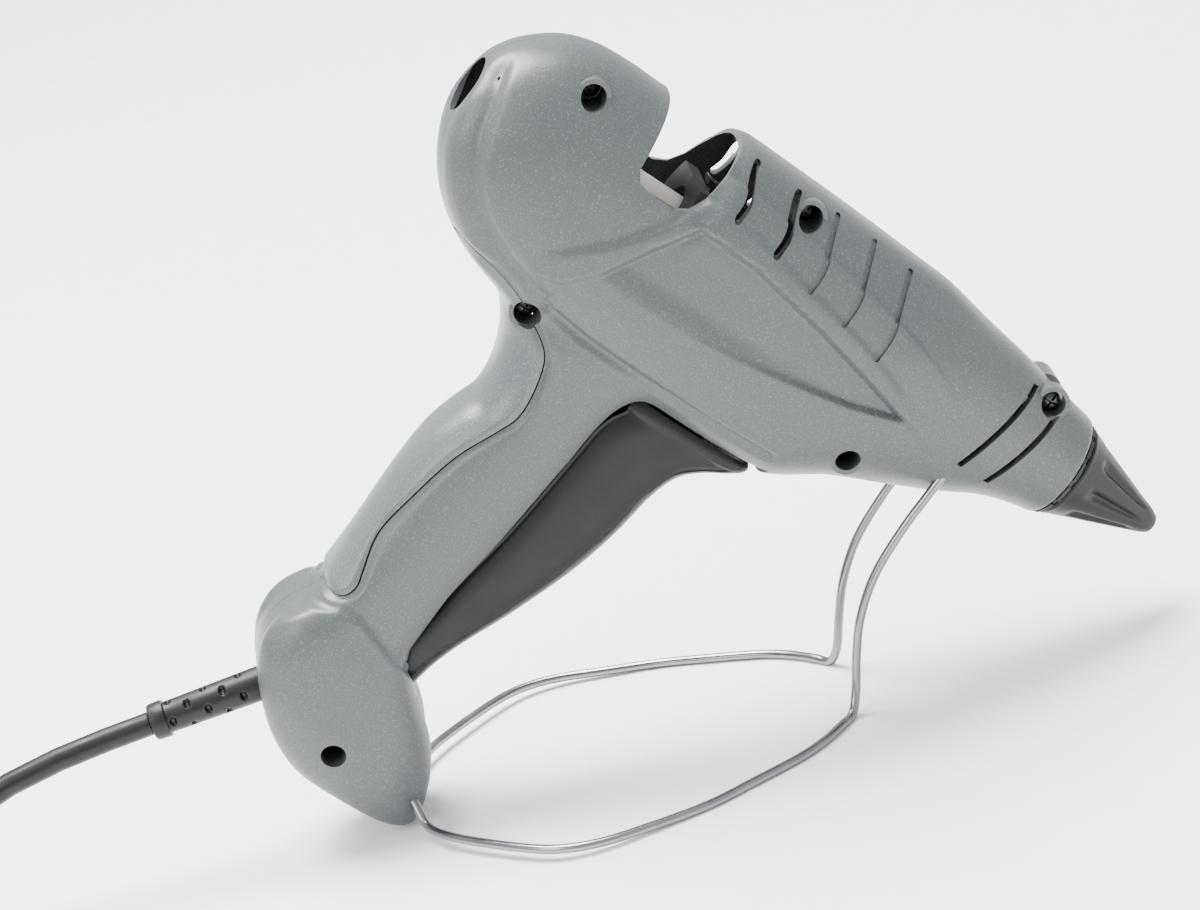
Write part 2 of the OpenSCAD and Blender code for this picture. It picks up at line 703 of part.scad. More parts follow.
// the wire in table coordinates: across the foot, out at its corner, round the runner and up
// into the body, then the mirror image
runner = wire_d / 2;
foot_x = row_x(foot_corner[0], foot_corner[1]) + shift;
function wide(w) = w * stand_half / 55;
rise = [[bx(188.2), 17.4, -86.6], [bx(185.5), 15.6, -81.5], [bx(180), 14.4, -73.4],
  [bx(174.2), 14, -63.5], [bx(170), 14, -51], [wire_x, 14, -36], [wire_x, wire_y, -24],
  [wire_x, wire_y, -14.6]];
corner = on_table(rise[0]);
wire_side = concat(
  [on_table([92.5, 0, hz(-185) + 12]), on_table(foot_wire_in),
    on_table(foot_wire_in * 0.45 + foot_wire_out * 0.55), on_table(foot_wire_out)],
  [for (p = [[13, 31, 2.6], [24, 42, 2.4], [35, 51, 2.1], [43, 54.4, 1.7], [52, 55, 1.2],
    [63, 53, 0.6], [81, 48.6, 0], [95, 42.5, 0], [109, 35.8, 0], [117, 30, 0], [123, 23.6, 0]])
    [foot_x + p[0] * (corner[0] - foot_x) / 127.7, wide(p[1]), runner + p[2]]],
  [[corner[0] - 0.6, 18.6, runner + 0.1]],
  [for (i = [1:len(rise) - 1]) on_table(rise[i])]);
module wire_stand() {
  c = smooth(concat(
    [for (i = [len(wire_side) - 1:-1:1]) [wire_side[i][0], -wire_side[i][1], wire_side[i][2]]],
    wire_side), 2);
  color("#c8cbce")
    tube(c, wire_d, 8, [0, 0, 1]);
}

block_z = hz(-166);
module internal_leads() {
  back = 48.9 + wall; // just inside the back of the handle
  // two insulated leads from the foot up the back of the handle to the heaters
  for (s = [-1, 1]) {
    c = smooth([[72, s * 4.5, block_z + 6], [68, s * 4.7, block_z + 9.4],
      [63.6, s * 5.4, block_z + 12], [58.2, s * 7.2, block_z + 12.9],
      [back + 3, s * 8.8, hz(-149.4)], [back + 0.6, s * 9.3, hz(-142)], [back, s * 9.4, hz(-132)],
      [back - 0.8, s * 9.4, hz(-104)], [back + 1.6, s * 9.2, hz(-84)], [back + 5.2, s * 9.2, -66],
      [back + 5.8, s * 10.4, -52], [60, s * 13, -42.4],
      [76, s * 14.6, -36], [100, s * 14.4, -33], [bx(119), s * 10.6, -28],
      [bx(127.4), s * 3.4, -13]], 3);
    color(s > 0 ? "#5b4332" : "#35506e")
      tube(c, 1.8, 6, [0, 1, 0]);
  }
}
module terminal_block() {
  color("#e6e3da")
    translate([72, -9, block_z])
      difference() {
        cube([11, 18, 11]);
        for (y = [4.5, 13.5])
          translate([5.5, y, 6])
            cylinder(d = 3.4, h = 6);
      }
}
module cord_clamp() {
  color("#4c4f54")
    translate([51, -9, block_z + 4.6])
      difference() {
        cube([10, 18, 3.6]);
        for (y = [2.6, 15.4])
          translate([5, y, -1])
            cylinder(d = 3, h = 6);
      }
}
module clamp_screws() {
  color("#56585c")
    for (y = [-6.4, 6.4])
      translate([56, y, block_z]) {
        translate([0, 0, 8.2])
          cylinder(d = 5, h = 2);
        translate([0, 0, -1])
          cylinder(d = 2.6, h = 9.2 + e);
      }
}
module relief_turned() {
  translate(relief_at)
    rotate([0, 180 + atan2(-relief_dir[0], -relief_dir[2]), 0])
      children();
}
module strain_relief() {
  d = cord_d + 3;
  color("#1f1f21")
    relief_turned()
      difference() {
        union() {
          cylinder(d = d, h = relief_len + 4 - 2.4);
          translate([0, 0, relief_len + 4 - 2.4 - e])
            cylinder(d1 = d + 0.2, d2 = d + 0.2, h = 2.4 + e);
          translate([0, 0, -1.6])
            cylinder(d = d + 4, h = 1.8);
        }
        // small round vents in rows
        for (a = [0:60:300])
          for (i = [0:2])
            rotate([0, 0, a])
              translate([0, d / 2, 13 + 6.5 * i])
                rotate([90, 0, 0])
                  cylinder(d = 1.5, h = 2.2, center = true);
      }
}

// cord in table coordinates
cord_0 = on_table(relief_end);
coil_c = [cord_0[0] - 190, 12, 0];
coil_half = 1.5 * cord_d; // three turns side by side
coil_high = 2 * cord_d + 0.3; // and two layers
cord_low = cord_d / 2 + 0.03;
cord_way = [cord_0, cord_0 + [-13, 0, -1.2], cord_0 + [-27, -0.3, -2.9], cord_0 + [-42, -1, -5.8],
  cord_0 + [-58, -2.6, -11], cord_0 + [-75, -6, -19.4], cord_0 + [-92, -11.2, -29],
  [cord_0[0] - 110, -17.6, cord_low + 7.2], [cord_0[0] - 128, -24.4, cord_low + 2.2],
  [cord_0[0] - 147, -30.2, cord_low + 0.1], [cord_0[0] - 168, -33.6, cord_low],
  coil_c + [8, -coil_d / 2 - coil_half + cord_d / 2 + 0.2, cord_low]];
module cord() {
  color("#1c1c1e")
    tube(smooth(cord_way, 4), cord_d, 10, [0, 1, 0]);
}
module cord_coil() {
  color("#1c1c1e")
    translate(coil_c)
      rotate_extrude($fn = 72)
        translate([coil_d / 2, 0])
          polygon([for (k = [[-1, 0.24], [-0.9, 0.08], [-0.66, 0], [0.66, 0], [0.9, 0.08],
            [1, 0.24], [1, 0.76], [0.9, 0.92], [0.66, 1], [-0.66, 1], [-0.9, 0.92], [-1, 0.76]])
            [k[0] * coil_half, k[1] * coil_high]]);
}
module coil_tie() {
  color("#101012")
    translate(coil_c + [-coil_d / 2, 0, 0])
      difference() {
        translate([-coil_half - 1, -4.5, 0.1])
          cube([2 * coil_half + 2, 9, coil_high + 1]);
        translate([-coil_half, -5, -1])
          cube([2 * coil_half, 10, coil_high + 1]);
      }
}
plug_at = coil_c + [-2, coil_d / 2 + 9.8, 0];
module plug_body() {
  // flat two-pin plug: a tapered shell with a moulded cord sleeve
  color("#1c1c1e")
    translate(plug_at)
      difference() {
        union() {
          translate([0, 9.6, 0])
            linear_extrude(14)
              polygon([[0, -6], [16, -9], [40, -17.6], [44, -17.6], [44, 17.6], [40, 17.6],
                [16, 9], [0, 6]]);
          translate([-16, 9.6, 7])
            rotate([0, 90, 0])
              cylinder(d = cord_d + 2.6, h = 17);
        }
        for (s = [-1, 1])
          translate([34, 9.6 + 9.5 * s, 7])
            rotate([0, 90, 0])
              cylinder(d = 4 + 0.1, h = 12);
      }
}
module plug_pins() {
  color("#c8cbce")
    translate(plug_at)
      for (s = [-1, 1])
        translate([0, 9.6 + 9.5 * s, 7])
          rotate([0, 90, 0])
            union() {
              translate([0, 0, 34])
                cylinder(d = 4, h = 11);
              translate([0, 0, 44])
                cylinder(d = 4.8, h = 18);
              translate([0, 0, 62 - e])
                cylinder(d1 = 4.8, d2 = 3.2, h = 1.2);
            }
}

on_stand() housing_right();
on_stand() housing_left();
on_stand() grip_insert();
on_stand() inlet_bush();
on_stand() housing_screws();
on_stand() trigger();
on_stand() trigger_pin();
on_stand() drive_pin();
on_stand() trigger_spring();
on_stand() feed_lever();
on_stand() lever_pin();
on_stand() feed_carriage();
on_stand() guide_rods();
on_stand() guide_bracket();
on_stand() clamp_jaw();
on_stand() clamp_pin();
on_stand() clamp_spring();
on_stand() glue_stick();
on_stand() inlet_sleeve();
on_stand() melt_chamber();
on_stand() heaters();
on_stand() heater_plate();
on_stand() plate_screws();
on_stand() thermal_fuse();
on_stand() rear_support();
on_stand() front_support();
on_stand() nozzle();
on_stand() nozzle_cover();
on_stand() nozzle_collar();
wire_stand();
on_stand() internal_leads();
on_stand() terminal_block();
on_stand() cord_clamp();
on_stand() clamp_screws();
on_stand() strain_relief();
cord();
cord_coil();
coil_tie();
plug_body();
plug_pins();
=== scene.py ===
import json
import math

import bmesh
import bpy
import numpy as np
from mathutils import Matrix, Vector

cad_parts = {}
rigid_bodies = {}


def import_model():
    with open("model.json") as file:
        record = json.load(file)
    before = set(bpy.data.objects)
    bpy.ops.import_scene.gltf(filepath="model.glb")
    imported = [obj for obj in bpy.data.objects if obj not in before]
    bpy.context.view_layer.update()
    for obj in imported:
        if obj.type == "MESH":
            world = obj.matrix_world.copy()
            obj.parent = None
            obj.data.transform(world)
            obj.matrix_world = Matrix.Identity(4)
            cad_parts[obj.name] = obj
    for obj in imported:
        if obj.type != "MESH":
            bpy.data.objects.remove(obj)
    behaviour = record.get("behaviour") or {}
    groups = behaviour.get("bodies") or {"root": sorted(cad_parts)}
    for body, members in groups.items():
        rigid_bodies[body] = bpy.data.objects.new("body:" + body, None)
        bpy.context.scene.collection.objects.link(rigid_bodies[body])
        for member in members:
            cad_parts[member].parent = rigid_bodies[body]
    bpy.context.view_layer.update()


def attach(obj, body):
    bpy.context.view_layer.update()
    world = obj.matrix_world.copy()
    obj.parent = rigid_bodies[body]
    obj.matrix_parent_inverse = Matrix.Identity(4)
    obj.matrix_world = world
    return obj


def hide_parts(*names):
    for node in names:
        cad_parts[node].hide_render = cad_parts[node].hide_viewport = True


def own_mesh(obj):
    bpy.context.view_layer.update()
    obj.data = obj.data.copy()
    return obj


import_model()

# ------------------------------------------------------------------ camera
# A long portrait lens a little over a metre away, above and slightly behind the tool,
# rolled so that the bench falls away to the left.
azimuth, elevation, roll = math.radians(-1.14), math.radians(21.76), math.radians(15.16)
aim = Vector((-0.0030, -0.0114, 0.0932))
distance = 1.1664
back = Vector((math.sin(azimuth) * math.cos(elevation),
               -math.cos(azimuth) * math.cos(elevation), math.sin(elevation)))
level = Vector((math.cos(azimuth), math.sin(azimuth), 0))
upright = back.cross(level)
right = level * math.cos(roll) - upright * math.sin(roll)
up = level * math.sin(roll) + upright * math.cos(roll)
camera = bpy.data.objects.new("camera", bpy.data.cameras.new("camera"))
bpy.context.scene.collection.objects.link(camera)
facing = Matrix((right, up, back)).transposed().to_4x4()
camera.matrix_world = Matrix.Translation(aim + back * distance) @ facing
camera.data.sensor_width = 36
camera.data.lens = 129.3
camera.data.clip_end = 20
bpy.context.scene.camera = camera

# ------------------------------------------------------------------ mains cord
# Black PVC sheath over two cores. It leaves the foot level, sags to the bench and is wound
# there into a flat two-layer coil held by a strap, with the plug lying beside it.


def linear(code):
    """An sRGB hex colour as linear RGBA."""
    parts = [int(code[i:i + 2], 16) / 255 for i in (1, 3, 5)]
    return tuple(c / 12.92 if c <= 0.04045 else ((c + 0.055) / 1.055) ** 2.4 for c in parts) + (1.0,)


def add(tree, kind, links=(), **settings):
    """One shader or geometry node; links are (own input, other node, other output)."""
    node = tree.nodes.new(kind)
    for key, value in settings.items():
        if key.startswith("in_"):
            node.inputs[int(key[3:])].default_value = value
        else:
            setattr(node, key, value)
    for own, other, output in links:
        tree.links.new(other.outputs[output], node.inputs[own])
    return node


def finish_of(name, colour, darker, rough, grain_mm, bump, metallic=0.0, mottle_mm=9.0,
              wear=0.08, flecks_and_glints=None, **shader):
    """A moulded or metal finish: broad mottling, fine grain in colour, roughness and bump."""
    m = bpy.data.materials.new(name)
    m.use_nodes = True
    t = m.node_tree
    t.nodes.clear()
    where = add(t, "ShaderNodeTexCoord")
    broad = add(t, "ShaderNodeTexNoise", [("Vector", where, "Object")])
    broad.inputs["Scale"].default_value = 1000 / mottle_mm
    broad.inputs["Detail"].default_value = 3
    fine = add(t, "ShaderNodeTexNoise", [("Vector", where, "Object")])
    fine.inputs["Scale"].default_value = 1000 / grain_mm
    fine.inputs["Detail"].default_value = 2
    tone = add(t, "ShaderNodeMix", [("Factor", broad, "Fac")], data_type="RGBA")
    tone.inputs[6].default_value = linear(darker)
    tone.inputs[7].default_value = linear(colour)
    paint = tone
    # pale flecks mixed into the colour: real flecks on the housing, painted glints on the satin elastomer
    if flecks_and_glints:
        grains = add(t, "ShaderNodeTexNoise", [("Vector", where, "Object")])
        grains.inputs["Scale"].default_value = 1000 / flecks_and_glints[1]
        grains.inputs["Detail"].default_value = 1
        few = add(t, "ShaderNodeMapRange", [("Value", grains, "Fac")])
        few.inputs["From Min"].default_value = flecks_and_glints[2]
        few.inputs["From Max"].default_value = flecks_and_glints[2] + 0.05
        paint = add(t, "ShaderNodeMix", [("Factor", few, "Result"), (6, tone, 2)], data_type="RGBA")
        paint.inputs[7].default_value = linear(flecks_and_glints[0])
    gloss = add(t, "ShaderNodeMapRange", [("Value", broad, "Fac")])
    gloss.inputs["From Min"].default_value = 0.3
    gloss.inputs["From Max"].default_value = 0.7
    gloss.inputs["To Min"].default_value = rough - wear
    gloss.inputs["To Max"].default_value = rough + wear
    relief = add(t, "ShaderNodeBump", [("Height", fine, "Fac")])
    relief.inputs["Strength"].default_value = bump
    relief.inputs["Distance"].default_value = grain_mm / 4000
    s = add(t, "ShaderNodeBsdfPrincipled", [("Base Color", paint, 2), ("Roughness", gloss, "Result"),
                                            ("Normal", relief, "Normal")])
    s.inputs["Metallic"].default_value = metallic
    for key, value in shader.items():
        s.inputs[key.replace("_", " ")].default_value = value
    add(t, "ShaderNodeOutputMaterial", [("Surface", s, "BSDF")])
    return m


def mesh_piece(name, vertices, faces, material, smooth=True, crease=35):
    """A mesh object at the origin; vertices are in metres in the row frame."""
    data = bpy.data.meshes.new(name)
    data.from_pydata([tuple(v) for v in vertices], [], [tuple(f) for f in faces])
    data.validate()
    o = bpy.data.objects.new(name, data)
    bpy.context.scene.collection.objects.link(o)
    data.materials.append(material)
    b = bmesh.new()
    b.from_mesh(data)
    bmesh.ops.recalc_face_normals(b, faces=b.faces)
    b.to_mesh(data)
    b.free()
    if smooth:
        data.shade_smooth()
        if crease:
            data.set_sharp_from_angle(angle=math.radians(crease))
    return o


def through(points, steps):
    """A smooth open line through given points."""
    p = [np.array(q, float) for q in points]
    line = []
    for i in range(len(p) - 1):
        a, b, c, d = p[max(i - 1, 0)], p[i], p[i + 1], p[min(i + 2, len(p) - 1)]
        for k in range(steps):
            t = k / steps
            line.append(0.5 * (2 * b + (c - a) * t + (2 * a - 5 * b + 4 * c - d) * t * t
                               + (3 * b - a - 3 * c + d) * t ** 3))
    return line + [p[-1]]


def round_wire_tree():
    """Geometry nodes: a round tube of a given radius along whatever curve it is put on."""
    tree = bpy.data.node_groups.new("round wire", "GeometryNodeTree")
    face = tree.interface
    face.new_socket("Curve", in_out="INPUT", socket_type="NodeSocketGeometry")
    face.new_socket("Radius", in_out="INPUT", socket_type="NodeSocketFloat")
    face.new_socket("Sides", in_out="INPUT", socket_type="NodeSocketInt")
    face.new_socket("Material", in_out="INPUT", socket_type="NodeSocketMaterial")
    face.new_socket("Tube", in_out="OUTPUT", socket_type="NodeSocketGeometry")
    given = add(tree, "NodeGroupInput")
    ring = add(tree, "GeometryNodeCurvePrimitiveCircle", [("Radius", given, "Radius"),
                                                         ("Resolution", given, "Sides")])
    skin = add(tree, "GeometryNodeCurveToMesh", [("Curve", given, "Curve"),
                                                 ("Profile Curve", ring, "Curve")])
    skin.inputs["Fill Caps"].default_value = True
    soft = add(tree, "GeometryNodeSetShadeSmooth", [(0, skin, "Mesh")])
    whole = add(tree, "GeometryNodeRealizeInstances", [(0, soft, 0)])
    paint = add(tree, "GeometryNodeSetMaterial", [(0, whole, 0), ("Material", given, "Material")])
    add(tree, "NodeGroupOutput", [(0, paint, 0)])
    return tree


round_wire = round_wire_tree()


def plain_mesh(o, name):
    """The evaluated object as a plain mesh object; the source object and its modifier go."""
    bpy.context.view_layer.update()
    data = bpy.data.meshes.new_from_object(o.evaluated_get(bpy.context.evaluated_depsgraph_get()))
    bpy.data.objects.remove(o)
    new = bpy.data.objects.new(name, data)
    bpy.context.scene.collection.objects.link(new)
    return new


def curve_of(name, lines):
    """A curve object holding open lines of points."""
    data = bpy.data.curves.new(name, "CURVE")
    data.dimensions = "3D"
    for line in lines:
        spline = data.splines.new("POLY")
        spline.points.add(len(line) - 1)
        for point, q in zip(spline.points, line):
            point.co = (*q, 1)
    o = bpy.data.objects.new(name, data)
    bpy.context.scene.collection.objects.link(o)
    return o


def wire_piece(name, lines, radius, material, sides=16):
    """Tubes along lines of points, made by the round wire tree."""
    o = curve_of(name + "_line", lines)
    modifier = o.modifiers.new("wire", "NODES")
    modifier.node_group = round_wire
    names = {s.name: s.identifier for s in round_wire.interface.items_tree if s.in_out == "INPUT"}
    modifier[names["Radius"]] = radius
    modifier[names["Sides"]] = sides
    modifier[names["Material"]] = material
    return plain_mesh(o, name)


cord_d = 0.0068
exit_point = Vector((-0.142211, 0, 0.047626))
# from the relief: level at first, then a sag down to the bench, in mm from the exit
cord_steps = [(0, 0, 0), (-13, 0, -1.2), (-27, -0.3, -2.9), (-42, -1, -5.8), (-58, -2.6, -11),
              (-75, -6, -19.4), (-92, -11.2, -29), (-110, -17.6, -37), (-128, -24.4, -42),
              (-147, -30.2, -44.1), (-168, -33.6, -44.2), (-182, -34.3, -44.2)]
coil_centre = Vector((-0.332211, 0.012, 0))
coil_lanes = (0.0463, 0.0395, 0.0327)
coil_turns = 6
route = [exit_point + Vector(s) / 1000 for s in cord_steps]
turn_steps = 36
# three lanes inwards on the bench, then three lanes outwards on top of them
for k in range(coil_turns * turn_steps + turn_steps // 4 + 1):
    turned = k / turn_steps
    lane = turned // 1 + min(max((turned % 1 - 0.78) / 0.22, 0), 1)
    if turned >= 4:
        lane = 5 - lane
    lane = min(max(lane, 0), 2)
    step = lane % 1
    radius = coil_lanes[0] - (coil_lanes[0] - coil_lanes[1]) * (int(lane) + step * step * (3 - 2 * step))
    climb = min(max((turned - 2.78) / 0.22, 0), 1)
    climb = climb * climb * (3 - 2 * climb)
    angle = -math.pi / 2 - 2 * math.pi * turned
    route.append(coil_centre + Vector((radius * math.cos(angle), radius * math.sin(angle),
                                       cord_d * (0.5 + 1.015 * climb) + 0.0001)))
# off the coil at its far side, then a wide bend into the plug lying beside it
plug_z = 0.0070
sleeve_end = Vector((-0.350211, 0.0709, plug_z))
bend = 0.028
off = route[-1].copy()
for s, z in ((0.35, 9.2), (0.7, 7.6)):
    route.append(Vector((off.x, off.y + s * (sleeve_end.y - bend - off.y), z / 1000)))
for k in range(8):
    a = math.pi - math.pi / 2 * k / 7
    route.append(Vector((sleeve_end.x + bend * math.cos(a) - 0.0004,
                         sleeve_end.y - bend + bend * math.sin(a), plug_z)))
route.append(sleeve_end + Vector((0.007, 0, 0)))

# a dull sheath with a faint sheen along its top, and a matt woven strap
pvc_cord = finish_of("black PVC cord sheath", "#0b0b0d", "#08080a", 0.42, 0.5, 0.18,
                     Specular_IOR_Level=0.3)
nylon_strap = finish_of("black nylon strap", "#1e1e20", "#141416", 0.62, 0.35, 0.5)
cord = curve_of("mains_cord", [route])
cord.data.bevel_depth = cord_d / 2
cord.data.bevel_resolution = 5
cord.data.use_fill_caps = True
cord.data.materials.append(pvc_cord)


def squared(c, power):
    return math.copysign(abs(c) ** power, c)


# Coil tie: a woven strap drawn round the six turns at their far side.
tie_at = coil_centre + Vector((-coil_lanes[1], 0, 0))
strap_steps, strap_mid = 48, 7.35
strap = []
for k in range(strap_steps):
    a = 2 * math.pi * k / strap_steps
    out = Vector((11.0 * squared(math.cos(a), 0.5), 0, strap_mid + 7.3 * squared(math.sin(a), 0.5)))
    inner = Vector((out.x * 0.925, 0, strap_mid + (out.z - strap_mid) * 0.93))
    strap.append([tie_at + Vector((p.x, y, p.z)) / 1000 for p, y in
                  ((out, -4.5), (out, 4.5), (inner, 4.5), (inner, -4.5))])
verts = [v for ring in strap for v in ring]
count = 4 * strap_steps
faces = [(4 * i + j, 4 * i + (j + 1) % 4, (4 * i + 4 + (j + 1) % 4) % count, (4 * i + 4 + j) % count)
         for i in range(strap_steps) for j in range(4)]
coil_tie = mesh_piece("coil_tie_strap", verts, faces, nylon_strap, crease=30)


# Plug: a flat two-pin plug moulded onto the cord, with a ribbed sleeve and brass pins that
# have insulated collars.
def loft(rings, caps=True):
    """Vertices and faces through rings of equal count; flat ends where asked for."""
    n, m = len(rings), len(rings[0])
    verts = [v for ring in rings for v in ring]
    faces = [(i * m + j, i * m + (j + 1) % m, (i + 1) * m + (j + 1) % m, (i + 1) * m + j)
             for i in range(n - 1) for j in range(m)]
    if caps:
        faces += [tuple(range(m))[::-1], tuple(range((n - 1) * m, n * m))]
    return verts, faces


def joined(parts):
    """Several (vertices, faces) as one."""
    verts, faces = [], []
    for v, f in parts:
        faces += [tuple(q + len(verts) for q in g) for g in f]
        verts += list(v)
    return verts, faces


def plug_ring(x, half_y, half_z, power, count=64):
    """A rounded section of the plug, x mm along from the end of the cord."""
    ring = []
    for k in range(count):
        a = 2 * math.pi * k / count
        ring.append((sleeve_end.x + x / 1000,
                     sleeve_end.y + half_y * squared(math.cos(a), power) / 1000,
                     plug_z + half_z * squared(math.sin(a), power) / 1000))
    return ring


def pin_ring(side, x, r, count=32):
    """A round section of one of the two pins."""
    ring = []
    for k in range(count):
        a = 2 * math.pi * k / count
        ring.append((sleeve_end.x + x / 1000,
                     sleeve_end.y + (side * pin_spacing / 2 + r * math.cos(a)) / 1000,
                     plug_z + r * math.sin(a) / 1000))
    return ring


# satin rubbery black, a little rougher than the cord
rubber = finish_of("black moulded PVC", "#0c0c0e", "#09090b", 0.45, 0.4, 0.35, Specular_IOR_Level=0.3)
pin_spacing = 19
pin_profile = ((60, 1.95), (70, 1.95), (70.02, 2.4), (87, 2.4), (88.3, 2.2), (89.1, 1.6), (89.4, 0.6))
profile = []
for i in range(33):
    x = i * 0.5
    rib = 0.45 * (0.5 + 0.5 * math.cos(2 * math.pi * x / 3.2)) if 1 < x < 14 else 0.2
    profile.append(plug_ring(x, 4.3 + rib + 0.02 * x, 4.3 + rib + 0.02 * x, 1))
for x, hy, hz, p in ((17, 5.4, 5.1, 0.95), (20, 6.6, 5.6, 0.85), (26, 8.6, 6.3, 0.7), (34, 11.2, 6.7, 0.6),
                     (42, 14.2, 6.9, 0.5), (50, 16.6, 6.9, 0.45), (56, 17.4, 6.9, 0.42),
                     (59, 17.5, 6.8, 0.42), (59.8, 17.2, 6.5, 0.42), (60.1, 16.6, 6.0, 0.42)):
    profile.append(plug_ring(x, hy, hz, p))
plug = mesh_piece("mains_plug", *loft(profile), rubber)
# bright, faintly warm plating
nickel = finish_of("nickel-plated brass", "#c9c6bd", "#b7b3a8", 0.28, 0.3, 0.15, metallic=1.0, wear=0.1)
pins = joined([loft([pin_ring(side, x, r) for x, r in pin_profile]) for side in (-1, 1)])
plug_pins = mesh_piece("mains_plug_pins", *pins, nickel)
for piece, name in ((cord, "pvc_cord"), (coil_tie, "pa_black"), (plug, "pa_black"), (plug_pins, "brass")):
    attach(piece, "gun")
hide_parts("cord", "cord_coil")
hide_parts("coil_tie")
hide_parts("plug_body")
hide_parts("plug_pins")

# ------------------------------------------------------------------ housing
# Two injection-moulded ABS halves screwed together along the middle. The barrel and the handle
# are drawn as sections, blended where they meet, and then cut for window, slots and screws.
pitch = math.radians(49.3)
shift, lift = -10.8065, 200.415


def placed(points):
    """Gun millimetres (x along the stick, y left, z up) to metres in the row frame."""
    p = np.array(points, float).reshape(-1, 3)
    x = p[:, 0] * math.cos(pitch) + p[:, 2] * math.sin(pitch) + shift
    z = p[:, 2] * math.cos(pitch) - p[:, 0] * math.sin(pitch) + lift
    return np.stack([x, p[:, 1], z], 1) / 1000


# sections of the barrel: x, top z, bottom z, half width, squareness
barrel_rows = [
    (0, 9.4, -10.2, 10.2, 2.1), (1.1, 12, -14.4, 13.2, 2.15), (4, 16.2, -20.2, 16.8, 2.2),
    (9, 21, -26.8, 20, 2.25), (16, 25.4, -32.8, 22.4, 2.3), (25, 27.8, -37.6, 24, 2.35),
    (36, 28.2, -41.4, 25, 2.4), (46, 27.9, -44.2, 25.6, 2.45), (67, 29.4, -46.2, 26, 2.5),
    (90, 28.8, -46.8, 26, 2.5), (110, 28, -47, 25.5, 2.5), (125, 27.2, -46.6, 24.7, 2.4),
    (132, 26.8, -44.2, 24.2, 2.35), (143.5, 26, -37, 23, 2.3), (158, 23.2, -31, 20.9, 2.2),
    (172, 20.9, -25, 18.6, 2.1), (183, 18.6, -19.4, 16.9, 2.05), (192, 16.9, -16.6, 15.9, 2),
    (199.6, 15.5, -15.2, 15.3, 2)]
# sections of the handle and foot: z, back x, front x, half width, squareness
handle_rows = [
    (-30, 46, 88, 17, 2.5), (-42, 40.5, 91, 19.2, 2.5), (-50, 45.2, 86.5, 18.3, 2.5),
    (-59, 49, 84.5, 17.4, 2.5), (-68.5, 50, 84, 17, 2.5), (-76, 47.4, 83.6, 17, 2.5),
    (-86, 44.8, 83, 17, 2.5), (-100.6, 44, 81.6, 17, 2.5), (-121, 44.4, 78.8, 17, 2.5),
    (-136, 44.8, 76.6, 17.2, 3.4), (-141, 44.4, 77, 17.5, 3.9), (-147, 41, 80.6, 18.4, 4.2),
    (-152, 39.9, 86.4, 19, 4), (-158, 39.9, 93.8, 19.4, 3.6), (-163.5, 41.8, 98.8, 19.4, 3.2),
    (-170, 46, 103, 19.2, 2.9), (-178, 53.4, 106.8, 17.6, 2.6), (-182.4, 59.4, 107.4, 15.2, 2.6),
    (-184.8, 63.5, 105.4, 12.6, 2.6)]
wall = 2.5


def section(row, inset, along_x, count=88):
    place, high, low, half, square = row
    if not along_x:
        high, low = -high, -low
    mid, tall, wide = (high + low) / 2, (high - low) / 2 - inset, half - inset
    ring = []
    for k in range(count):
        a = 2 * math.pi * k / count
        y, v = wide * squared(math.sin(a), 2 / square), mid + tall * squared(math.cos(a), 2 / square)
        ring.append((place, y, v) if along_x else (-v, y, place))
    return ring


def shell(rows, inset, along_x, steps=6, first=0.0, last=0.0):
    """A closed loft through the rows, drawn in by inset; its ends are moved by first and last."""
    fine = [tuple(r) for r in through(rows, steps)]
    fine[0] = (fine[0][0] + first, *fine[0][1:])
    fine[-1] = (fine[-1][0] + last, *fine[-1][1:])
    return loft([section(r, inset, along_x) for r in fine])


def solid(name, vertices, faces):
    """A scratch solid in gun millimetres."""
    data = bpy.data.meshes.new(name)
    data.from_pydata([tuple(v) for v in vertices], [], faces)
    b = bmesh.new()
    b.from_mesh(data)
    bmesh.ops.recalc_face_normals(b, faces=b.faces)
    b.to_mesh(data)
    b.free()
    o = bpy.data.objects.new(name, data)
    bpy.context.scene.collection.objects.link(o)
    return o


def copy_of(o, name):
    new = bpy.data.objects.new(name, o.data.copy())
    bpy.context.scene.collection.objects.link(new)
    return new


def cut(o, cutter, operation="DIFFERENCE"):
    """An exact boolean, applied at once; the cutter goes."""
    m = o.modifiers.new("cut", "BOOLEAN")
    m.operation, m.object, m.solver = operation, cutter, "EXACT"
    new = plain_mesh(o, o.name)
    bpy.data.objects.remove(cutter)
    return new


def prism(points, y0, y1):
    """Gun (x, z) points carried from y0 to y1."""
    n = len(points)
    verts = [(x, y0, z) for x, z in points] + [(x, y1, z) for x, z in points]
    faces = [tuple(range(n)), tuple(range(2 * n - 1, n - 1, -1))]
    return verts, faces + [(j, j + n, (j + 1) % n + n, (j + 1) % n) for j in range(n)]


def drum(x, z, r, y0, y1, count=40):
    """A round bar across the gun."""
    rings = [[(x + r * math.cos(2 * math.pi * k / count), y, z + r * math.sin(2 * math.pi * k / count))
              for k in range(count)] for y in (y0, y1)]
    return loft(rings)


def spun(profile, count=64, relief=None):
    """A ring for each (x, r) along the stick axis; relief(x, a) adds to the radius."""
    rings = []
    for x, r in profile:
        ring = []
        for k in range(count):
            a = 2 * math.pi * k / count
            reach = r + (relief(x, a) if relief else 0)
            ring.append((x, reach * math.sin(a), reach * math.cos(a)))
        rings.append(ring)
    return rings


def line_distance(p, line):
    """Distance of 2-D points from an open line."""
    best = np.full(len(p), 1e9)
    for a, b in zip(line, line[1:]):
        a, b = np.array(a, float), np.array(b, float)
        t = np.clip(((p - a) @ (b - a)) / ((b - a) @ (b - a)), 0, 1)
        best = np.minimum(best, np.linalg.norm(p - a - t[:, None] * (b - a), axis=1))
    return best


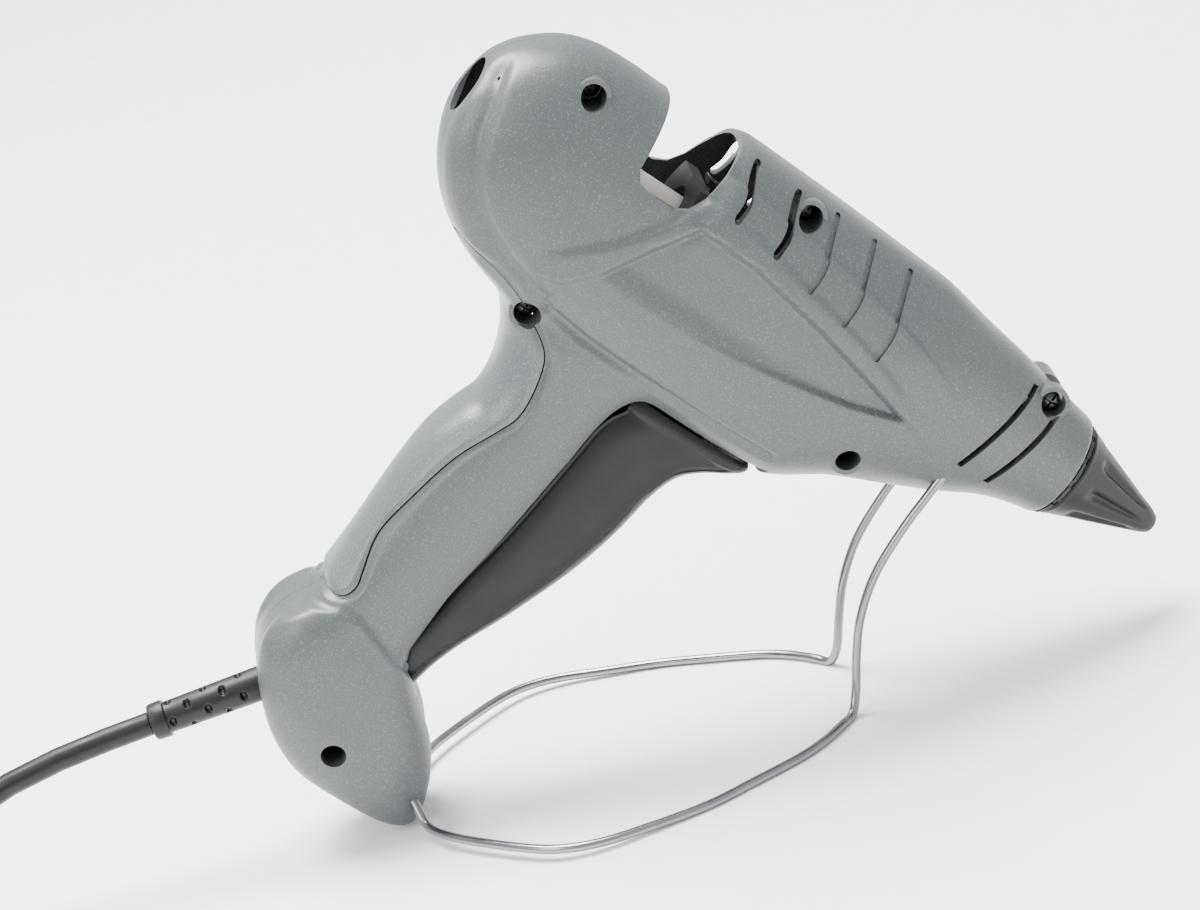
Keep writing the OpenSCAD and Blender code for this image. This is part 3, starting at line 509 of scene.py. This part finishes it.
def inside(p, outline):
    """Which 2-D points lie in a closed outline."""
    flag = np.zeros(len(p), bool)
    for a, b in zip(outline, outline[1:] + outline[:1]):
        with np.errstate(divide="ignore", invalid="ignore"):
            cross = ((a[1] > p[:, 1]) != (b[1] > p[:, 1])) & (
                p[:, 0] < (b[0] - a[0]) * (p[:, 1] - a[1]) / (b[1] - a[1]) + a[0])
        flag ^= cross
    return flag


def step_in(p, outline, width):
    """0 outside the outline rising to 1 over a width inside it."""
    d = line_distance(p, outline + outline[:1]) * np.where(inside(p, outline), 1, -1)
    t = np.clip(d / width + 0.5, 0, 1)
    return t * t * (3 - 2 * t)


# outer form: both lofts in one skin, then smoothed where the handle runs into the barrel
form = solid("form", *shell(barrel_rows, 0, True))
form = cut(form, solid("handle", *shell(handle_rows, 0, False)), "UNION")
skin = form.modifiers.new("skin", "REMESH")
skin.mode, skin.voxel_size = "VOXEL", 0.62
form = plain_mesh(form, "form")


def arrays(o):
    v = np.empty(len(o.data.vertices) * 3)
    o.data.vertices.foreach_get("co", v)
    e = np.empty(len(o.data.edges) * 2, int)
    o.data.edges.foreach_get("vertices", e)
    return v.reshape(-1, 3), e.reshape(-1, 2)


def relaxed(v, e, weight, rounds):
    count = np.bincount(e.ravel(), minlength=len(v))[:, None]
    for _ in range(rounds):
        total = np.zeros_like(v)
        for axis in range(3):
            total[:, axis] = (np.bincount(e[:, 0], v[e[:, 1], axis], len(v))
                              + np.bincount(e[:, 1], v[e[:, 0], axis], len(v)))
        v = v + weight[:, None] * 0.6 * (total / count - v)
    return v


v, e = arrays(form)
fine_barrel = np.array(through(barrel_rows, 6))
fine_handle = np.array(through(handle_rows, 6))


def depth_in(v, rows, along_x):
    """A rough signed distance from the loft: positive outside."""
    key, a, b = (v[:, 0], v[:, 2], 1) if along_x else (-v[:, 2], v[:, 0], -1)
    place = rows[:, 0] if along_x else -rows[:, 0]
    high, low, half, square = [np.interp(key, place, rows[:, i]) for i in range(1, 5)]
    mid, tall = (high + low) / 2, np.abs(high - low) / 2
    r = (np.abs((a - mid) / tall) ** square + np.abs(v[:, 1] / half) ** square) ** (1 / square)
    past = np.maximum(place[0] - key, key - place[-1]).clip(0)
    return (r - 1) * np.minimum(tall, half) + past


near = np.abs(depth_in(v, fine_barrel, True)) + np.abs(depth_in(v, fine_handle, False))
weight = np.clip(1 - near / 9, 0, 1) ** 0.7
v = relaxed(v, e, weight, 90)
v = relaxed(v, e, np.full(len(v), 0.5), 4)

# The moulded relief on both sides: a sunk leaf-shaped field under a raised arm that turns down
# the barrel, a ledge through the slots, a soft valley round the head and a raised foot cheek.
def smooth_step(t):
    t = np.clip(t, 0, 1)
    return t * t * (3 - 2 * t)


leaf = [(68.4, 5.6), (88, 4.4), (112, 0), (130, -4.4), (147, -9), (132, -13), (108, -17), (84, -20),
        (60, -20.4), (53, -19)]
arm = [(33, -26), (42, -19), (52, -9), (60, 1.6), (66.6, 13.4), (75.2, 12.6), (89.5, 10.4), (102.8, 7.4),
       (115.9, 4.9), (129.2, 1.6), (142, -3), (153, -9), (147, -9), (130, -4.4), (112, 0), (88, 4.4),
       (68.4, 5.6), (60, -6), (53, -19), (46, -27), (38, -30)]
ledge = [(64, 22), (75, 20.4), (89, 19), (102, 17.4), (115, 15.6), (128, 13.4), (144, 9), (158, 3)]
head_valley = [(0.5, 14), (2.6, 4), (5, -6), (8.6, -14), (14, -21), (22, -27.4), (33, -32), (45.5, -35)]
body_crease = [(48, -36), (62, -37.6), (84, -38.6), (104, -38.6), (123, -38)]
foot_cheek = [(36, -162), (40.5, -150), (45, -142.4), (51, -138), (57, -137.2), (64, -139.6), (80, -146),
              (120, -158), (120, -200), (30, -200)]
window = [(45.6, 50), (45.6, 10), (47.4, 7), (50.5, 6), (59.5, 6), (63, 8), (65.6, 12.5), (67.6, 20),
          (69.5, 31), (71, 50)]
insert_edge = [(12, -42), (19, -34.4), (31, -35.2), (40, -37.6), (46.1, -40.8), (53.7, -45.3), (57.4, -50),
               (60, -59), (60.4, -66.6), (58, -73.2), (53, -85.3), (49.9, -101.2), (48.5, -115.1),
               (50.6, -126), (51.4, -130.6), (49, -135.2), (39.8, -137), (20, -137), (12, -60)]
insert_edge = [tuple(p) for p in through(insert_edge[1:17], 4)] + insert_edge[17:] + insert_edge[:1]
screw_places = [(25.5, 18.2), (46, -41), (94, 22.2), (183, 15.2), (142, -27), (72.5, -173.6)]

form.data.vertices.foreach_set("co", v.ravel())
form.data.update()
n = np.empty(len(v) * 3)
form.data.vertices.foreach_get("normal", n)
n = n.reshape(-1, 3)
flat = v[:, [0, 2]]
cheek = smooth_step((np.abs(v[:, 1]) - 6) / 6)
fade = smooth_step((flat[:, 1] + 21.5) / 9)
push = -2.0 * step_in(flat, leaf, 1.5) * fade
push += 1.3 * step_in(flat, arm, 2.2) * smooth_step((flat[:, 0] - 34) / 16)
ledge_z = np.interp(flat[:, 0], [p[0] for p in ledge], [p[1] for p in ledge])
along_ledge = smooth_step((flat[:, 0] - 66) / 5) * smooth_step((160 - flat[:, 0]) / 26)
above = smooth_step((flat[:, 1] - ledge_z) / 1.5 + 0.5) * smooth_step((27.4 - flat[:, 1]) / 6)
below = smooth_step((ledge_z - flat[:, 1]) / 1.5 + 0.5) * smooth_step((flat[:, 1] + 4) / 9)
push += along_ledge * (0.6 * below - 1.1 * above)
push -= 1.9 * smooth_step(1 - line_distance(flat, head_valley) / 4.6)
push += 0.7 * step_in(flat, [(-10, 14)] + head_valley + [(40, -50), (-10, -50)], 3.0) * (flat[:, 1] > -44)
push -= 1.2 * smooth_step(1 - line_distance(flat, body_crease) / 2.2)
push += 1.6 * step_in(flat, foot_cheek, 2.6)
push *= cheek
# the skin dips towards the front rim of the window, and is rounded down into the insert's joint
scoop = smooth_step((73.4 - flat[:, 0]) / 9) * smooth_step((flat[:, 1] - 5) / 5) * (flat[:, 0] > 58)
push -= 2.0 * scoop
push -= 1.1 * smooth_step(1 - line_distance(flat, insert_edge) / 2.0) * smooth_step((np.abs(v[:, 1]) - 2) / 3)
v = v + push[:, None] * n
v = relaxed(v, e, np.full(len(v), 0.4), 2)
form.data.vertices.foreach_set("co", v.ravel())
form.data.update()


def along_normals(o, amount):
    n = np.empty(len(o.data.vertices) * 3)
    o.data.vertices.foreach_get("normal", n)
    w, _ = arrays(o)
    o.data.vertices.foreach_set("co", (w + amount * n.reshape(-1, 3)).ravel())
    o.data.update()


def slab(x0, x1, y0, y1, z0, z1):
    return prism([(x0, z0), (x1, z0), (x1, z1), (x0, z1)], y0, y1)


def leaning(x, width, degrees, z0, z1, y0, y1):
    t = math.tan(math.radians(degrees))
    return prism([(x - width / 2 + t * z0, z0), (x + width / 2 + t * z0, z0),
                  (x + width / 2 + t * z1, z1), (x - width / 2 + t * z1, z1)], y0, y1)


def curved_slot(x_low, z_low, x_high, z_high, width, y0, y1):
    """A slot with round ends whose middle bows forward a little."""
    line = []
    for k in range(13):
        t = k / 12
        bow = 0.7 * math.sin(math.pi * t * 1.6)
        line.append((x_low + (x_high - x_low) * t + bow, z_low + (z_high - z_low) * t))
    h = width / 2
    left = [(x - h, z) for x, z in line]
    turn = [(line[-1][0] - h * math.cos(a), line[-1][1] + h * math.sin(a)) for a in (0.6, 1.2, 1.9, 2.5)]
    ends = [(line[0][0] + h * math.cos(a), line[0][1] - h * math.sin(a)) for a in (0.6, 1.2, 1.9, 2.5)]
    return prism(left + turn + [(x + h, z) for x, z in line[::-1]] + ends, y0, y1)


mouth = [(71, -37), (127.6, -37), (127.6, -60), (100, -149.8), (69.4, -149.8), (69.4, -105), (71, -100)]
groove_lines = ((102.6, 7.8, 101.7, 26), (115.8, 5.3, 114.6, 25.6), (129.1, 2, 127.7, 24))


def to_side(side, near_y, far_y):
    """The span from near_y to far_y on one side of the parting plane, lower value first."""
    return (near_y, far_y) if side > 0 else (-far_y, -near_y)


# moulded against an eroded tool: a low sheen broken by fine grain, with paler flecks
abs_grey = finish_of("textured ABS", "#484c4d", "#434748", 0.38, 0.34, 0.5, mottle_mm=30,
                     flecks_and_glints=("#585e60", 0.5, 0.6), wear=0.05)
halves = []
for side in (-1, 1):
    half = copy_of(form, "half")
    half = cut(half, solid("side", *slab(-20, 230, *to_side(side, 0.09, 60), -200, 60)), "INTERSECT")
    half = cut(half, solid("hollow", *shell(barrel_rows, wall, True, 3, wall, 3)))
    half = cut(half, solid("hollow", *shell(handle_rows, wall, False, 3, 0, wall)))
    y0, y1 = to_side(side, -1, 40)
    half = cut(half, solid("window", *prism(window, y0, y1)))
    half = cut(half, solid("mouth", *prism(mouth, *to_side(side, -1, 12.8))))
    half = cut(half, solid("inlet", *loft(spun([(-3, 8.25), (10, 8.25)]))))
    half = cut(half, solid("pocket", *prism([(x + 0.15, z) for x, z in insert_edge], y0, y1)))
    a, b = to_side(side, 9, 40)
    slots = [curved_slot(75.2, 13, 74.5, 26.3, 2.4, a, b), curved_slot(89.4, 10.8, 88.6, 25.6, 2.4, a, b)]
    half = cut(half, solid("slots", *joined(slots)))
    # three shallow grooves carry the line of the slots forward, and two arcs go round the nose
    grooves = [curved_slot(*ends, 2.0, a, b) for ends in groove_lines]
    skin_in = copy_of(form, "skin in")
    along_normals(skin_in, -0.6)
    mask = solid("grooves", *joined(grooves))
    mask = cut(mask, skin_in)
    half = cut(half, mask)
    nose = [leaning(172, 1.9, 14, -12, 17, *to_side(side, 3, 40)),
            leaning(182.4, 1.9, 14, -12.4, 14, *to_side(side, 3, 40))]
    half = cut(half, solid("nose", *joined(nose)))
    # heads sink into wells on the right; the left half has blind pilot holes
    bore, y0, y1 = (3.5, -40, -6) if side < 0 else (1.55, -2, 10.6)
    half = cut(half, solid("holes", *joined([drum(x, z, bore, y0, y1) for x, z in screw_places])))
    halves.append(half)

def tower_ring(x, z, r, y, count=32):
    return [(x + r * math.cos(2 * math.pi * k / count), y, z + r * math.sin(2 * math.pi * k / count))
            for k in range(count)]


# screw towers inside each half, and the finished halves
tower_r = 4.9
reaches = (17.6, 12.4, 14.4, 10.8, 16.8, 17.6)
for half, name, side in ((halves[0], "housing_right_shell", -1), (halves[1], "housing_left_shell", 1)):
    v, _ = arrays(half)
    faces = [tuple(p.vertices) for p in half.data.polygons]
    parts = [(v, faces)]
    for (x, z), reach in zip(screw_places, reaches):
        inner, start = (3.6, 6.2) if side < 0 else (1.6, 0.3)
        corners = ((tower_r, start), (tower_r, reach), (inner, reach), (inner, start), (tower_r, start))
        parts.append(loft([tower_ring(x, z, r, side * y) for r, y in corners], caps=False))
    v, f = joined(parts)
    piece = mesh_piece(name, placed(v), f, abs_grey, crease=32)
    bpy.data.objects.remove(half)
    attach(piece, "gun")
    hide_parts("housing_right" if side < 0 else "housing_left")

# ------------------------------------------------------------------ soft insert
# A satin elastomer skin let into the back of the handle and under the head. It is one moulding
# under 2 mm thick, seated in a shallow pocket of both halves and cut away round a screw.
# smoother and a little paler than the housing, so it catches a softer highlight; its pale specks are painted
# glints, the skin's sparkle put into its colour
elastomer = finish_of("satin elastomer", "#545a5b", "#4f5556", 0.3, 0.4, 0.6, mottle_mm=25,
                      flecks_and_glints=("#6c7375", 0.5, 0.62), wear=0.05)
insert = copy_of(form, "insert")
along_normals(insert, 0.12)
insert = cut(insert, solid("patch", *prism([(x - 0.35, z) for x, z in insert_edge], -40, 40)), "INTERSECT")
core = copy_of(form, "core")
along_normals(core, -1.65)
insert = cut(insert, core)
insert = cut(insert, solid("seat", *drum(46, -41, 4.0, -40, 0)))
v, _ = arrays(insert)
faces = [tuple(p.vertices) for p in insert.data.polygons]
grip = mesh_piece("grip_insert_skin", placed(v), faces, elastomer, crease=32)
bpy.data.objects.remove(insert)
bpy.data.objects.remove(form)
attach(grip, "gun")
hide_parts("grip_insert")

# ------------------------------------------------------------------ housing screws
# Six black self-tapping screws with cross recesses, seen down their wells on the right side.
# They clamp the two halves together at their towers.
# dark oxide over bright steel: nearly black, with a metal glint on the edges
black_steel = finish_of("black-oxide steel", "#4a4b4f", "#37383c", 0.38, 0.3, 0.2, metallic=1.0, wear=0.1)


def copies_tree():
    """Geometry nodes: one piece set on each point of a mesh."""
    tree = bpy.data.node_groups.new("piece on points", "GeometryNodeTree")
    face = tree.interface
    face.new_socket("Points", in_out="INPUT", socket_type="NodeSocketGeometry")
    face.new_socket("Piece", in_out="INPUT", socket_type="NodeSocketObject")
    face.new_socket("Material", in_out="INPUT", socket_type="NodeSocketMaterial")
    face.new_socket("Copies", in_out="OUTPUT", socket_type="NodeSocketGeometry")
    given = add(tree, "NodeGroupInput")
    piece = add(tree, "GeometryNodeObjectInfo", [("Object", given, "Piece")])
    copies = add(tree, "GeometryNodeInstanceOnPoints", [("Points", given, "Points"),
                                                        ("Instance", piece, "Geometry")])
    whole = add(tree, "GeometryNodeRealizeInstances", [(0, copies, 0)])
    paint = add(tree, "GeometryNodeSetMaterial", [(0, whole, 0), ("Material", given, "Material")])
    add(tree, "NodeGroupOutput", [(0, paint, 0)])
    return tree


def across_ring(r, y, count=40):
    return tower_ring(0, 0, r, y, count)


screw_profile = ((0.2, -8.9), (1.6, -8.75), (2.5, -8.2), (2.9, -7.3), (2.95, -6.1), (2.6, -6.0),
                 (1.45, -6.0), (1.45, 8.6), (0.5, 10.2))
one_screw = solid("one screw", *loft([across_ring(r, y) for r, y in screw_profile]))
cross = joined([slab(-1.75, 1.75, -10, -7.4, -0.38, 0.38), slab(-0.38, 0.38, -10, -7.4, 0.39, 1.75),
                slab(-0.38, 0.38, -10, -7.4, -1.75, -0.39)])
one_screw = cut(one_screw, solid("cross", *cross))
v, _ = arrays(one_screw)
turned = placed(v) - placed([(0, 0, 0)])
one_screw.data.vertices.foreach_set("co", turned.ravel())
one_screw.data.update()
points = bpy.data.meshes.new("screw places")
points.from_pydata([tuple(p) for p in placed([(x, 0, z) for x, z in screw_places])], [], [])
screws = bpy.data.objects.new("screw places", points)
bpy.context.scene.collection.objects.link(screws)
copies = screws.modifiers.new("copies", "NODES")
copies.node_group = copies_tree()
names = {s.name: s.identifier for s in copies.node_group.interface.items_tree if s.in_out == "INPUT"}
copies[names["Piece"]] = one_screw
copies[names["Material"]] = black_steel
screws = plain_mesh(screws, "housing_screw_set")
screws.data.shade_smooth()
screws.data.set_sharp_from_angle(angle=math.radians(30))
bpy.data.objects.remove(one_screw)
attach(screws, "gun")
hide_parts("housing_screws")

# ------------------------------------------------------------------ trigger
# A long charcoal lever with sunk sides and a plain rounded front face, moulded hollow at the
# back. It turns on a steel pin low in the handle, and two ears take the feed lever's drive pin.
trigger_rows = [
    (-45.4, 82, 124.6, .93, 3.4), (-47.4, 82, 125.4, 1, 3.4), (-50.2, 81.8, 122.4, 1, 3.2),
    (-54.2, 79.6, 115.8, 1, 3), (-59.4, 78.6, 110.4, 1, 3), (-68.1, 78.2, 107.4, 1, 3),
    (-82, 77.2, 105.4, 1, 3), (-97.3, 76, 101.6, 1, 3), (-115.7, 73.6, 94.8, 1, 3),
    (-130.4, 72.2, 88.2, 1, 3), (-139.2, 71.6, 85, 1, 3), (-148.4, 74, 83, .94, 3)]
# near black with a soft, even sheen
charcoal = finish_of("charcoal ABS", "#121113", "#0e0d0f", 0.42, 0.3, 0.4, wear=0.06,
                     Specular_IOR_Level=0.28)
pivot_x, pivot_z = 75, -143.5
rows = [(z, x0, x1, share * 12, n) for z, x0, x1, share, n in trigger_rows]
trigger_form = solid("trigger", *shell(rows, 0, False, 9))
hollow = [(z, x0 - 12, x1 - 2.6, share * 12 - 2.4, n) for z, x0, x1, share, n in trigger_rows]
hollow = [(hollow[0][0] - 2.4, *hollow[0][1:])] + hollow[1:-1] + [(hollow[-1][0] + 1.8, *hollow[-1][1:])]
trigger_form = cut(trigger_form, solid("hollow", *shell(hollow, 0, False, 3)))
trigger_form = cut(trigger_form, solid("arm room", *slab(70, 112, -4, 4, -60, -30)))
v, _ = arrays(trigger_form)
front = np.interp(-v[:, 2], [-r[0] for r in trigger_rows], [r[2] for r in trigger_rows])
rim = np.clip((front - v[:, 0] - 3.6) / 1.0, 0, 1) * np.clip((-48.6 - v[:, 2]) / 1.0, 0, 1)
outside = np.abs(v[:, 1]) > 9.7
v[:, 1] -= np.sign(v[:, 1]) * np.where(outside, 0.55 * rim * rim * (3 - 2 * rim), 0)
trigger_faces = [tuple(p.vertices) for p in trigger_form.data.polygons]
bpy.data.objects.remove(trigger_form)
parts = [(v, trigger_faces)]
hub_rings = [across_ring(r, y, 36) for r, y in ((2.06, -11), (4.5, -11), (4.5, 11), (2.06, 11), (2.06, -11))]
parts.append(loft([[(x + pivot_x, y, z + pivot_z) for x, y, z in ring] for ring in hub_rings], caps=False))
ear = [(93.6, -56), (93.6, -39.8), (95.6, -37.8), (100.4, -37.8), (102.4, -39.8), (112, -48), (112, -56)]
for y0, y1 in ((-7.4, -4.2), (4.2, 7.4)):
    parts.append(prism(ear, y0, y1))
v, f = joined(parts)
trigger = mesh_piece("trigger_lever", placed(v), f, charcoal, crease=32)
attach(trigger, "trigger")
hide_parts("trigger")

# ------------------------------------------------------------------ nozzle cover
# Charcoal silicone cone over the brass nozzle, with eight long flutes and a rounded open tip.
# It sits against the notched ring at the front of the housing.
# matt black rubber whose flutes show by their soft edges
silicone = finish_of("charcoal silicone", "#141315", "#0f0e10", 0.45, 0.3, 0.4, wear=0.06,
                     Specular_IOR_Level=0.3)


def flute(x, a):
    along = min(max((x - 206.5) / 3, 0), 1) * min(max((227.5 - x) / 4, 0), 1)
    wave = max(math.cos(8 * a), 0) ** 1.5
    return -1.7 * along * wave * (13.9 - 11.2 * (x - 201) / 32) / 11


cone = [(201.1, 12.2), (201, 13.2), (201.4, 13.8), (202.2, 13.9)]
cone += [(202.2 + i * 0.5, 13.75 - 0.352 * i * 0.5) for i in range(1, 57)]
cone += [(231, 3.5), (231.9, 3.1), (232.6, 2.5), (233, 1.7), (232.9, 1.1), (232, 0.9), (229.5, 1.0),
         (228, 1.9), (204.6, 10.4), (204.4, 12.2), (201.1, 12.2)]
cover_form = loft(spun(cone, 144, flute), caps=False)
cover = mesh_piece("nozzle_cover_cone", placed(cover_form[0]), cover_form[1], silicone, crease=50)
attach(cover, "gun")
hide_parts("nozzle_cover")

# ------------------------------------------------------------------ glue stick
# A round-ended stick of hot-melt adhesive, loose in the barrel until the jaw bites it.
# It runs from the window to the melt chamber.
# waxy and cloudy: light goes into it and comes out soft and slightly warm
glue = bpy.data.materials.new("hot-melt glue")
glue.use_nodes = True
tree = glue.node_tree
tree.nodes.clear()
where = add(tree, "ShaderNodeTexCoord")
cloud = add(tree, "ShaderNodeTexNoise", [("Vector", where, "Object")])
cloud.inputs["Scale"].default_value = 120
tone = add(tree, "ShaderNodeMix", [("Factor", cloud, "Fac")], data_type="RGBA")
tone.inputs[6].default_value = linear("#ece6d6")
tone.inputs[7].default_value = linear("#f7f4ec")
skin = add(tree, "ShaderNodeTexNoise", [("Vector", where, "Object")])
skin.inputs["Scale"].default_value = 900
relief_of_skin = add(tree, "ShaderNodeBump", [("Height", skin, "Fac")])
relief_of_skin.inputs["Strength"].default_value = 0.12
relief_of_skin.inputs["Distance"].default_value = 0.0002
shader = add(tree, "ShaderNodeBsdfPrincipled", [("Base Color", tone, 2),
                                                ("Normal", relief_of_skin, "Normal")])
for key, value in (("Roughness", 0.22), ("IOR", 1.49), ("Subsurface Weight", 0.6),
                   ("Subsurface Scale", 0.004), ("Transmission Weight", 0.12)):
    shader.inputs[key].default_value = value
shader.inputs["Subsurface Radius"].default_value = (1, 0.9, 0.7)
add(tree, "ShaderNodeOutputMaterial", [("Surface", shader, "BSDF")])
stick_form = loft(spun([(50, 4.6), (50.2, 5.3), (50.8, 5.72), (51.6, 5.8), (160.4, 5.8), (161, 5.3)], 72))
glue_stick = mesh_piece("glue_stick_rod", placed(stick_form[0]), stick_form[1], glue, crease=50)
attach(glue_stick, "stick")
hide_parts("glue_stick")

# ------------------------------------------------------------------ wire stand
# One bent bright steel wire, 2.6 mm thick: across the foot, out and round on the bench, and up
# into a socket on each side of the nose.
# drawn and polished, so it takes long thin highlights
steel_wire = finish_of("bright steel wire", "#8a8c8e", "#77797b", 0.24, 0.5, 0.12, metallic=1.0, wear=0.07)
stand = [(-81.64, 0, 17.47), (-80.67, 8, 16.34), (-77.85, 15.15, 9.69), (-75.55, 21, 4.25), (-69.10, 31, 3.9),
         (-58.04, 42, 3.7), (-46.98, 51, 3.4), (-38.93, 54.4, 3), (-29.88, 55, 2.5), (-18.81, 53, 1.9),
         (-0.71, 48.6, 1.3), (13.37, 42.5, 1.3), (27.46, 35.8, 1.3), (35.50, 30, 1.3), (41.54, 23.6, 1.3),
         (45.66, 18.6, 1.4), (48.37, 15.6, 6.64), (50.92, 14.4, 16.09), (54.65, 14, 26.94),
         (61.39, 14, 38.28), (71.78, 14, 49.19), (80.88, 14, 57.02), (88.00, 14, 63.15)]
both = [(x, -y, z) for x, y, z in stand[:0:-1]] + stand
wire = wire_piece("wire_stand_loop", [[q / 1000 for q in through(both, 8)]], 0.0013, steel_wire, 24)
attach(wire, "gun")
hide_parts("wire_stand")

# ------------------------------------------------------------------ strain relief
# A black moulded sleeve that leaves the foot with the cord, with rows of small wells along it.
# Its flange is trapped between the two halves.
relief_from = placed([(52.3, 0, -168.4)])[0] * 1000
relief_to = placed([(52.3 - 0.583 * 34, 0, -168.4 - 0.812 * 34)])[0] * 1000
axis = (relief_to - relief_from) / np.linalg.norm(relief_to - relief_from)
across_way = np.array([0.0, 1.0, 0.0])
third = np.cross(axis, across_way)


def well(s, a):
    depth = 0
    for i in range(5):
        for turn in range(4):
            stagger = math.pi / 4 if i % 2 else 0
            angle = (a - math.pi / 2 * turn - stagger + math.pi) % (2 * math.pi) - math.pi
            d = math.hypot((s - 10.5 - 5.2 * i) / 1.0, angle * 4.9 / 1.7)
            depth = max(depth, 1 - d)
    return -1.1 * min(depth * 2.2, 1)


rings = []
flange = [(-3.6, 3.5), (-3.6, 6.7), (-2, 6.9), (-1.9, 4.9)]
sleeve = [(i * 0.3, 4.92 - 0.004 * i) for i in range(-6, 110)]
lip = [(33, 4.75), (33.05, 5.2), (33.6, 5.3), (36.6, 5.25), (37.3, 5.0), (37.6, 4.3), (37.5, 3.5)]
for s, r in flange + sleeve + lip:
    ring = []
    for k in range(96):
        a = 2 * math.pi * k / 96
        rr = r + (well(s, a) if 4 < s < 32.5 else 0)
        ring.append(relief_from + axis * s + rr * (across_way * math.cos(a) + third * math.sin(a)))
    rings.append(ring)
rings.append(rings[0])
relief_form = loft(rings, caps=False)
relief = mesh_piece("strain_relief_sleeve", np.array(relief_form[0]) / 1000, relief_form[1], rubber,
                    crease=45)
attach(relief, "gun")
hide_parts("strain_relief")

# ------------------------------------------------------------------ carried-over parts
# Pieces seen through the window or at the nose, or not seen at all, keep their drawn shape.
# Each gets the finish of what it is made of: turned, cast or moulded.
pa_black = finish_of("glass-filled nylon", "#232325", "#1a1a1c", 0.55, 0.35, 0.4)
steel = finish_of("turned steel", "#c2c4c7", "#aeb1b5", 0.28, 0.3, 0.15, metallic=1.0)
aluminium = finish_of("cast aluminium", "#b9babb", "#a5a7a9", 0.5, 0.5, 0.5, metallic=1.0)
brass = finish_of("turned brass", "#c7a355", "#b08c43", 0.3, 0.3, 0.15, metallic=1.0)
pps_tan = finish_of("heat-resistant moulding", "#8d7a5b", "#7d6b4f", 0.5, 0.35, 0.35)
ceramic = finish_of("heater ceramic", "#e4dfd4", "#d4cdbf", 0.6, 0.3, 0.35)
insulation = finish_of("wire insulation", "#6a4a36", "#5a3e2d", 0.4, 0.4, 0.15)
nylon_clear = finish_of("natural nylon", "#d8d6cc", "#c9c6ba", 0.42, 0.3, 0.2)
finishes = {
    "inlet_bush": pa_black, "trigger_pin": black_steel, "drive_pin": steel, "trigger_spring": steel,
    "feed_lever": pa_black, "lever_pin": steel, "feed_carriage": pa_black, "guide_rods": steel,
    "guide_bracket": pa_black, "clamp_jaw": black_steel, "clamp_pin": steel, "clamp_spring": steel,
    "inlet_sleeve": silicone, "melt_chamber": aluminium, "heaters": ceramic, "heater_plate": aluminium,
    "plate_screws": steel, "thermal_fuse": ceramic, "rear_support": pps_tan, "front_support": pps_tan,
    "nozzle": brass, "nozzle_collar": pa_black, "internal_leads": insulation, "terminal_block": nylon_clear,
    "cord_clamp": pa_black, "clamp_screws": black_steel}
for o in list(bpy.data.objects):
    if o.type == "MESH" and o.name in finishes:
        o.data.materials.clear()
        o.data.materials.append(finishes[o.name])

# ------------------------------------------------------------------ trigger spring
# Cold-wound return spring of steel wire between the back of the handle and the trigger.
coils, spring_r, coil_steps = 8, 4.9, 28
spring_back, spring_front, spring_z = 52.9, 101.2, -78
line = []
for k in range(coils * coil_steps + 1):
    t = k / (coils * coil_steps)
    a = 2 * math.pi * coils * t
    line.append((spring_back + (spring_front - spring_back - 0.7) * t, math.cos(a) * spring_r,
                 spring_z + math.sin(a) * spring_r))
spring = wire_piece("trigger_spring_coil", [list(map(tuple, placed(line)))], 0.0006, steel, 12)
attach(spring, "gun")
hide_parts("trigger_spring")
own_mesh(spring)

# ------------------------------------------------------------------ bench and light
# A plain white bench, one large lamp overhead, a weaker one from the window side and a faint
# fill from the front, in a bright even room.
floor = mesh_piece("bench", [(-6, -6, 0), (6, -6, 0), (6, 6, 0), (-6, 6, 0)], [(0, 1, 2, 3)],
                   finish_of("pale bench", "#ffffff", "#fbfbfb", 0.6, 2, 0.05), smooth=False)


def lamp(name, place, size, power, tint="#ffffff"):
    data = bpy.data.lights.new(name, "AREA")
    data.energy, data.size, data.color = power, size, linear(tint)[:3]
    o = bpy.data.objects.new(name, data)
    bpy.context.scene.collection.objects.link(o)
    o.location = place
    o.rotation_euler = (aim - Vector(place)).to_track_quat("-Z", "Y").to_euler()


lamp("overhead", (-0.25, 0.35, 1.5), 0.9, 100)
lamp("window light", (-1.1, -0.9, 1.0), 0.8, 16)
lamp("front fill", (0.9, -1.3, 0.7), 1.2, 1.5)
world = bpy.data.worlds.new("studio")
bpy.context.scene.world = world
world.use_nodes = True
world.node_tree.nodes["Background"].inputs["Color"].default_value = linear("#fbfcff")
world.node_tree.nodes["Background"].inputs["Strength"].default_value = 1.25
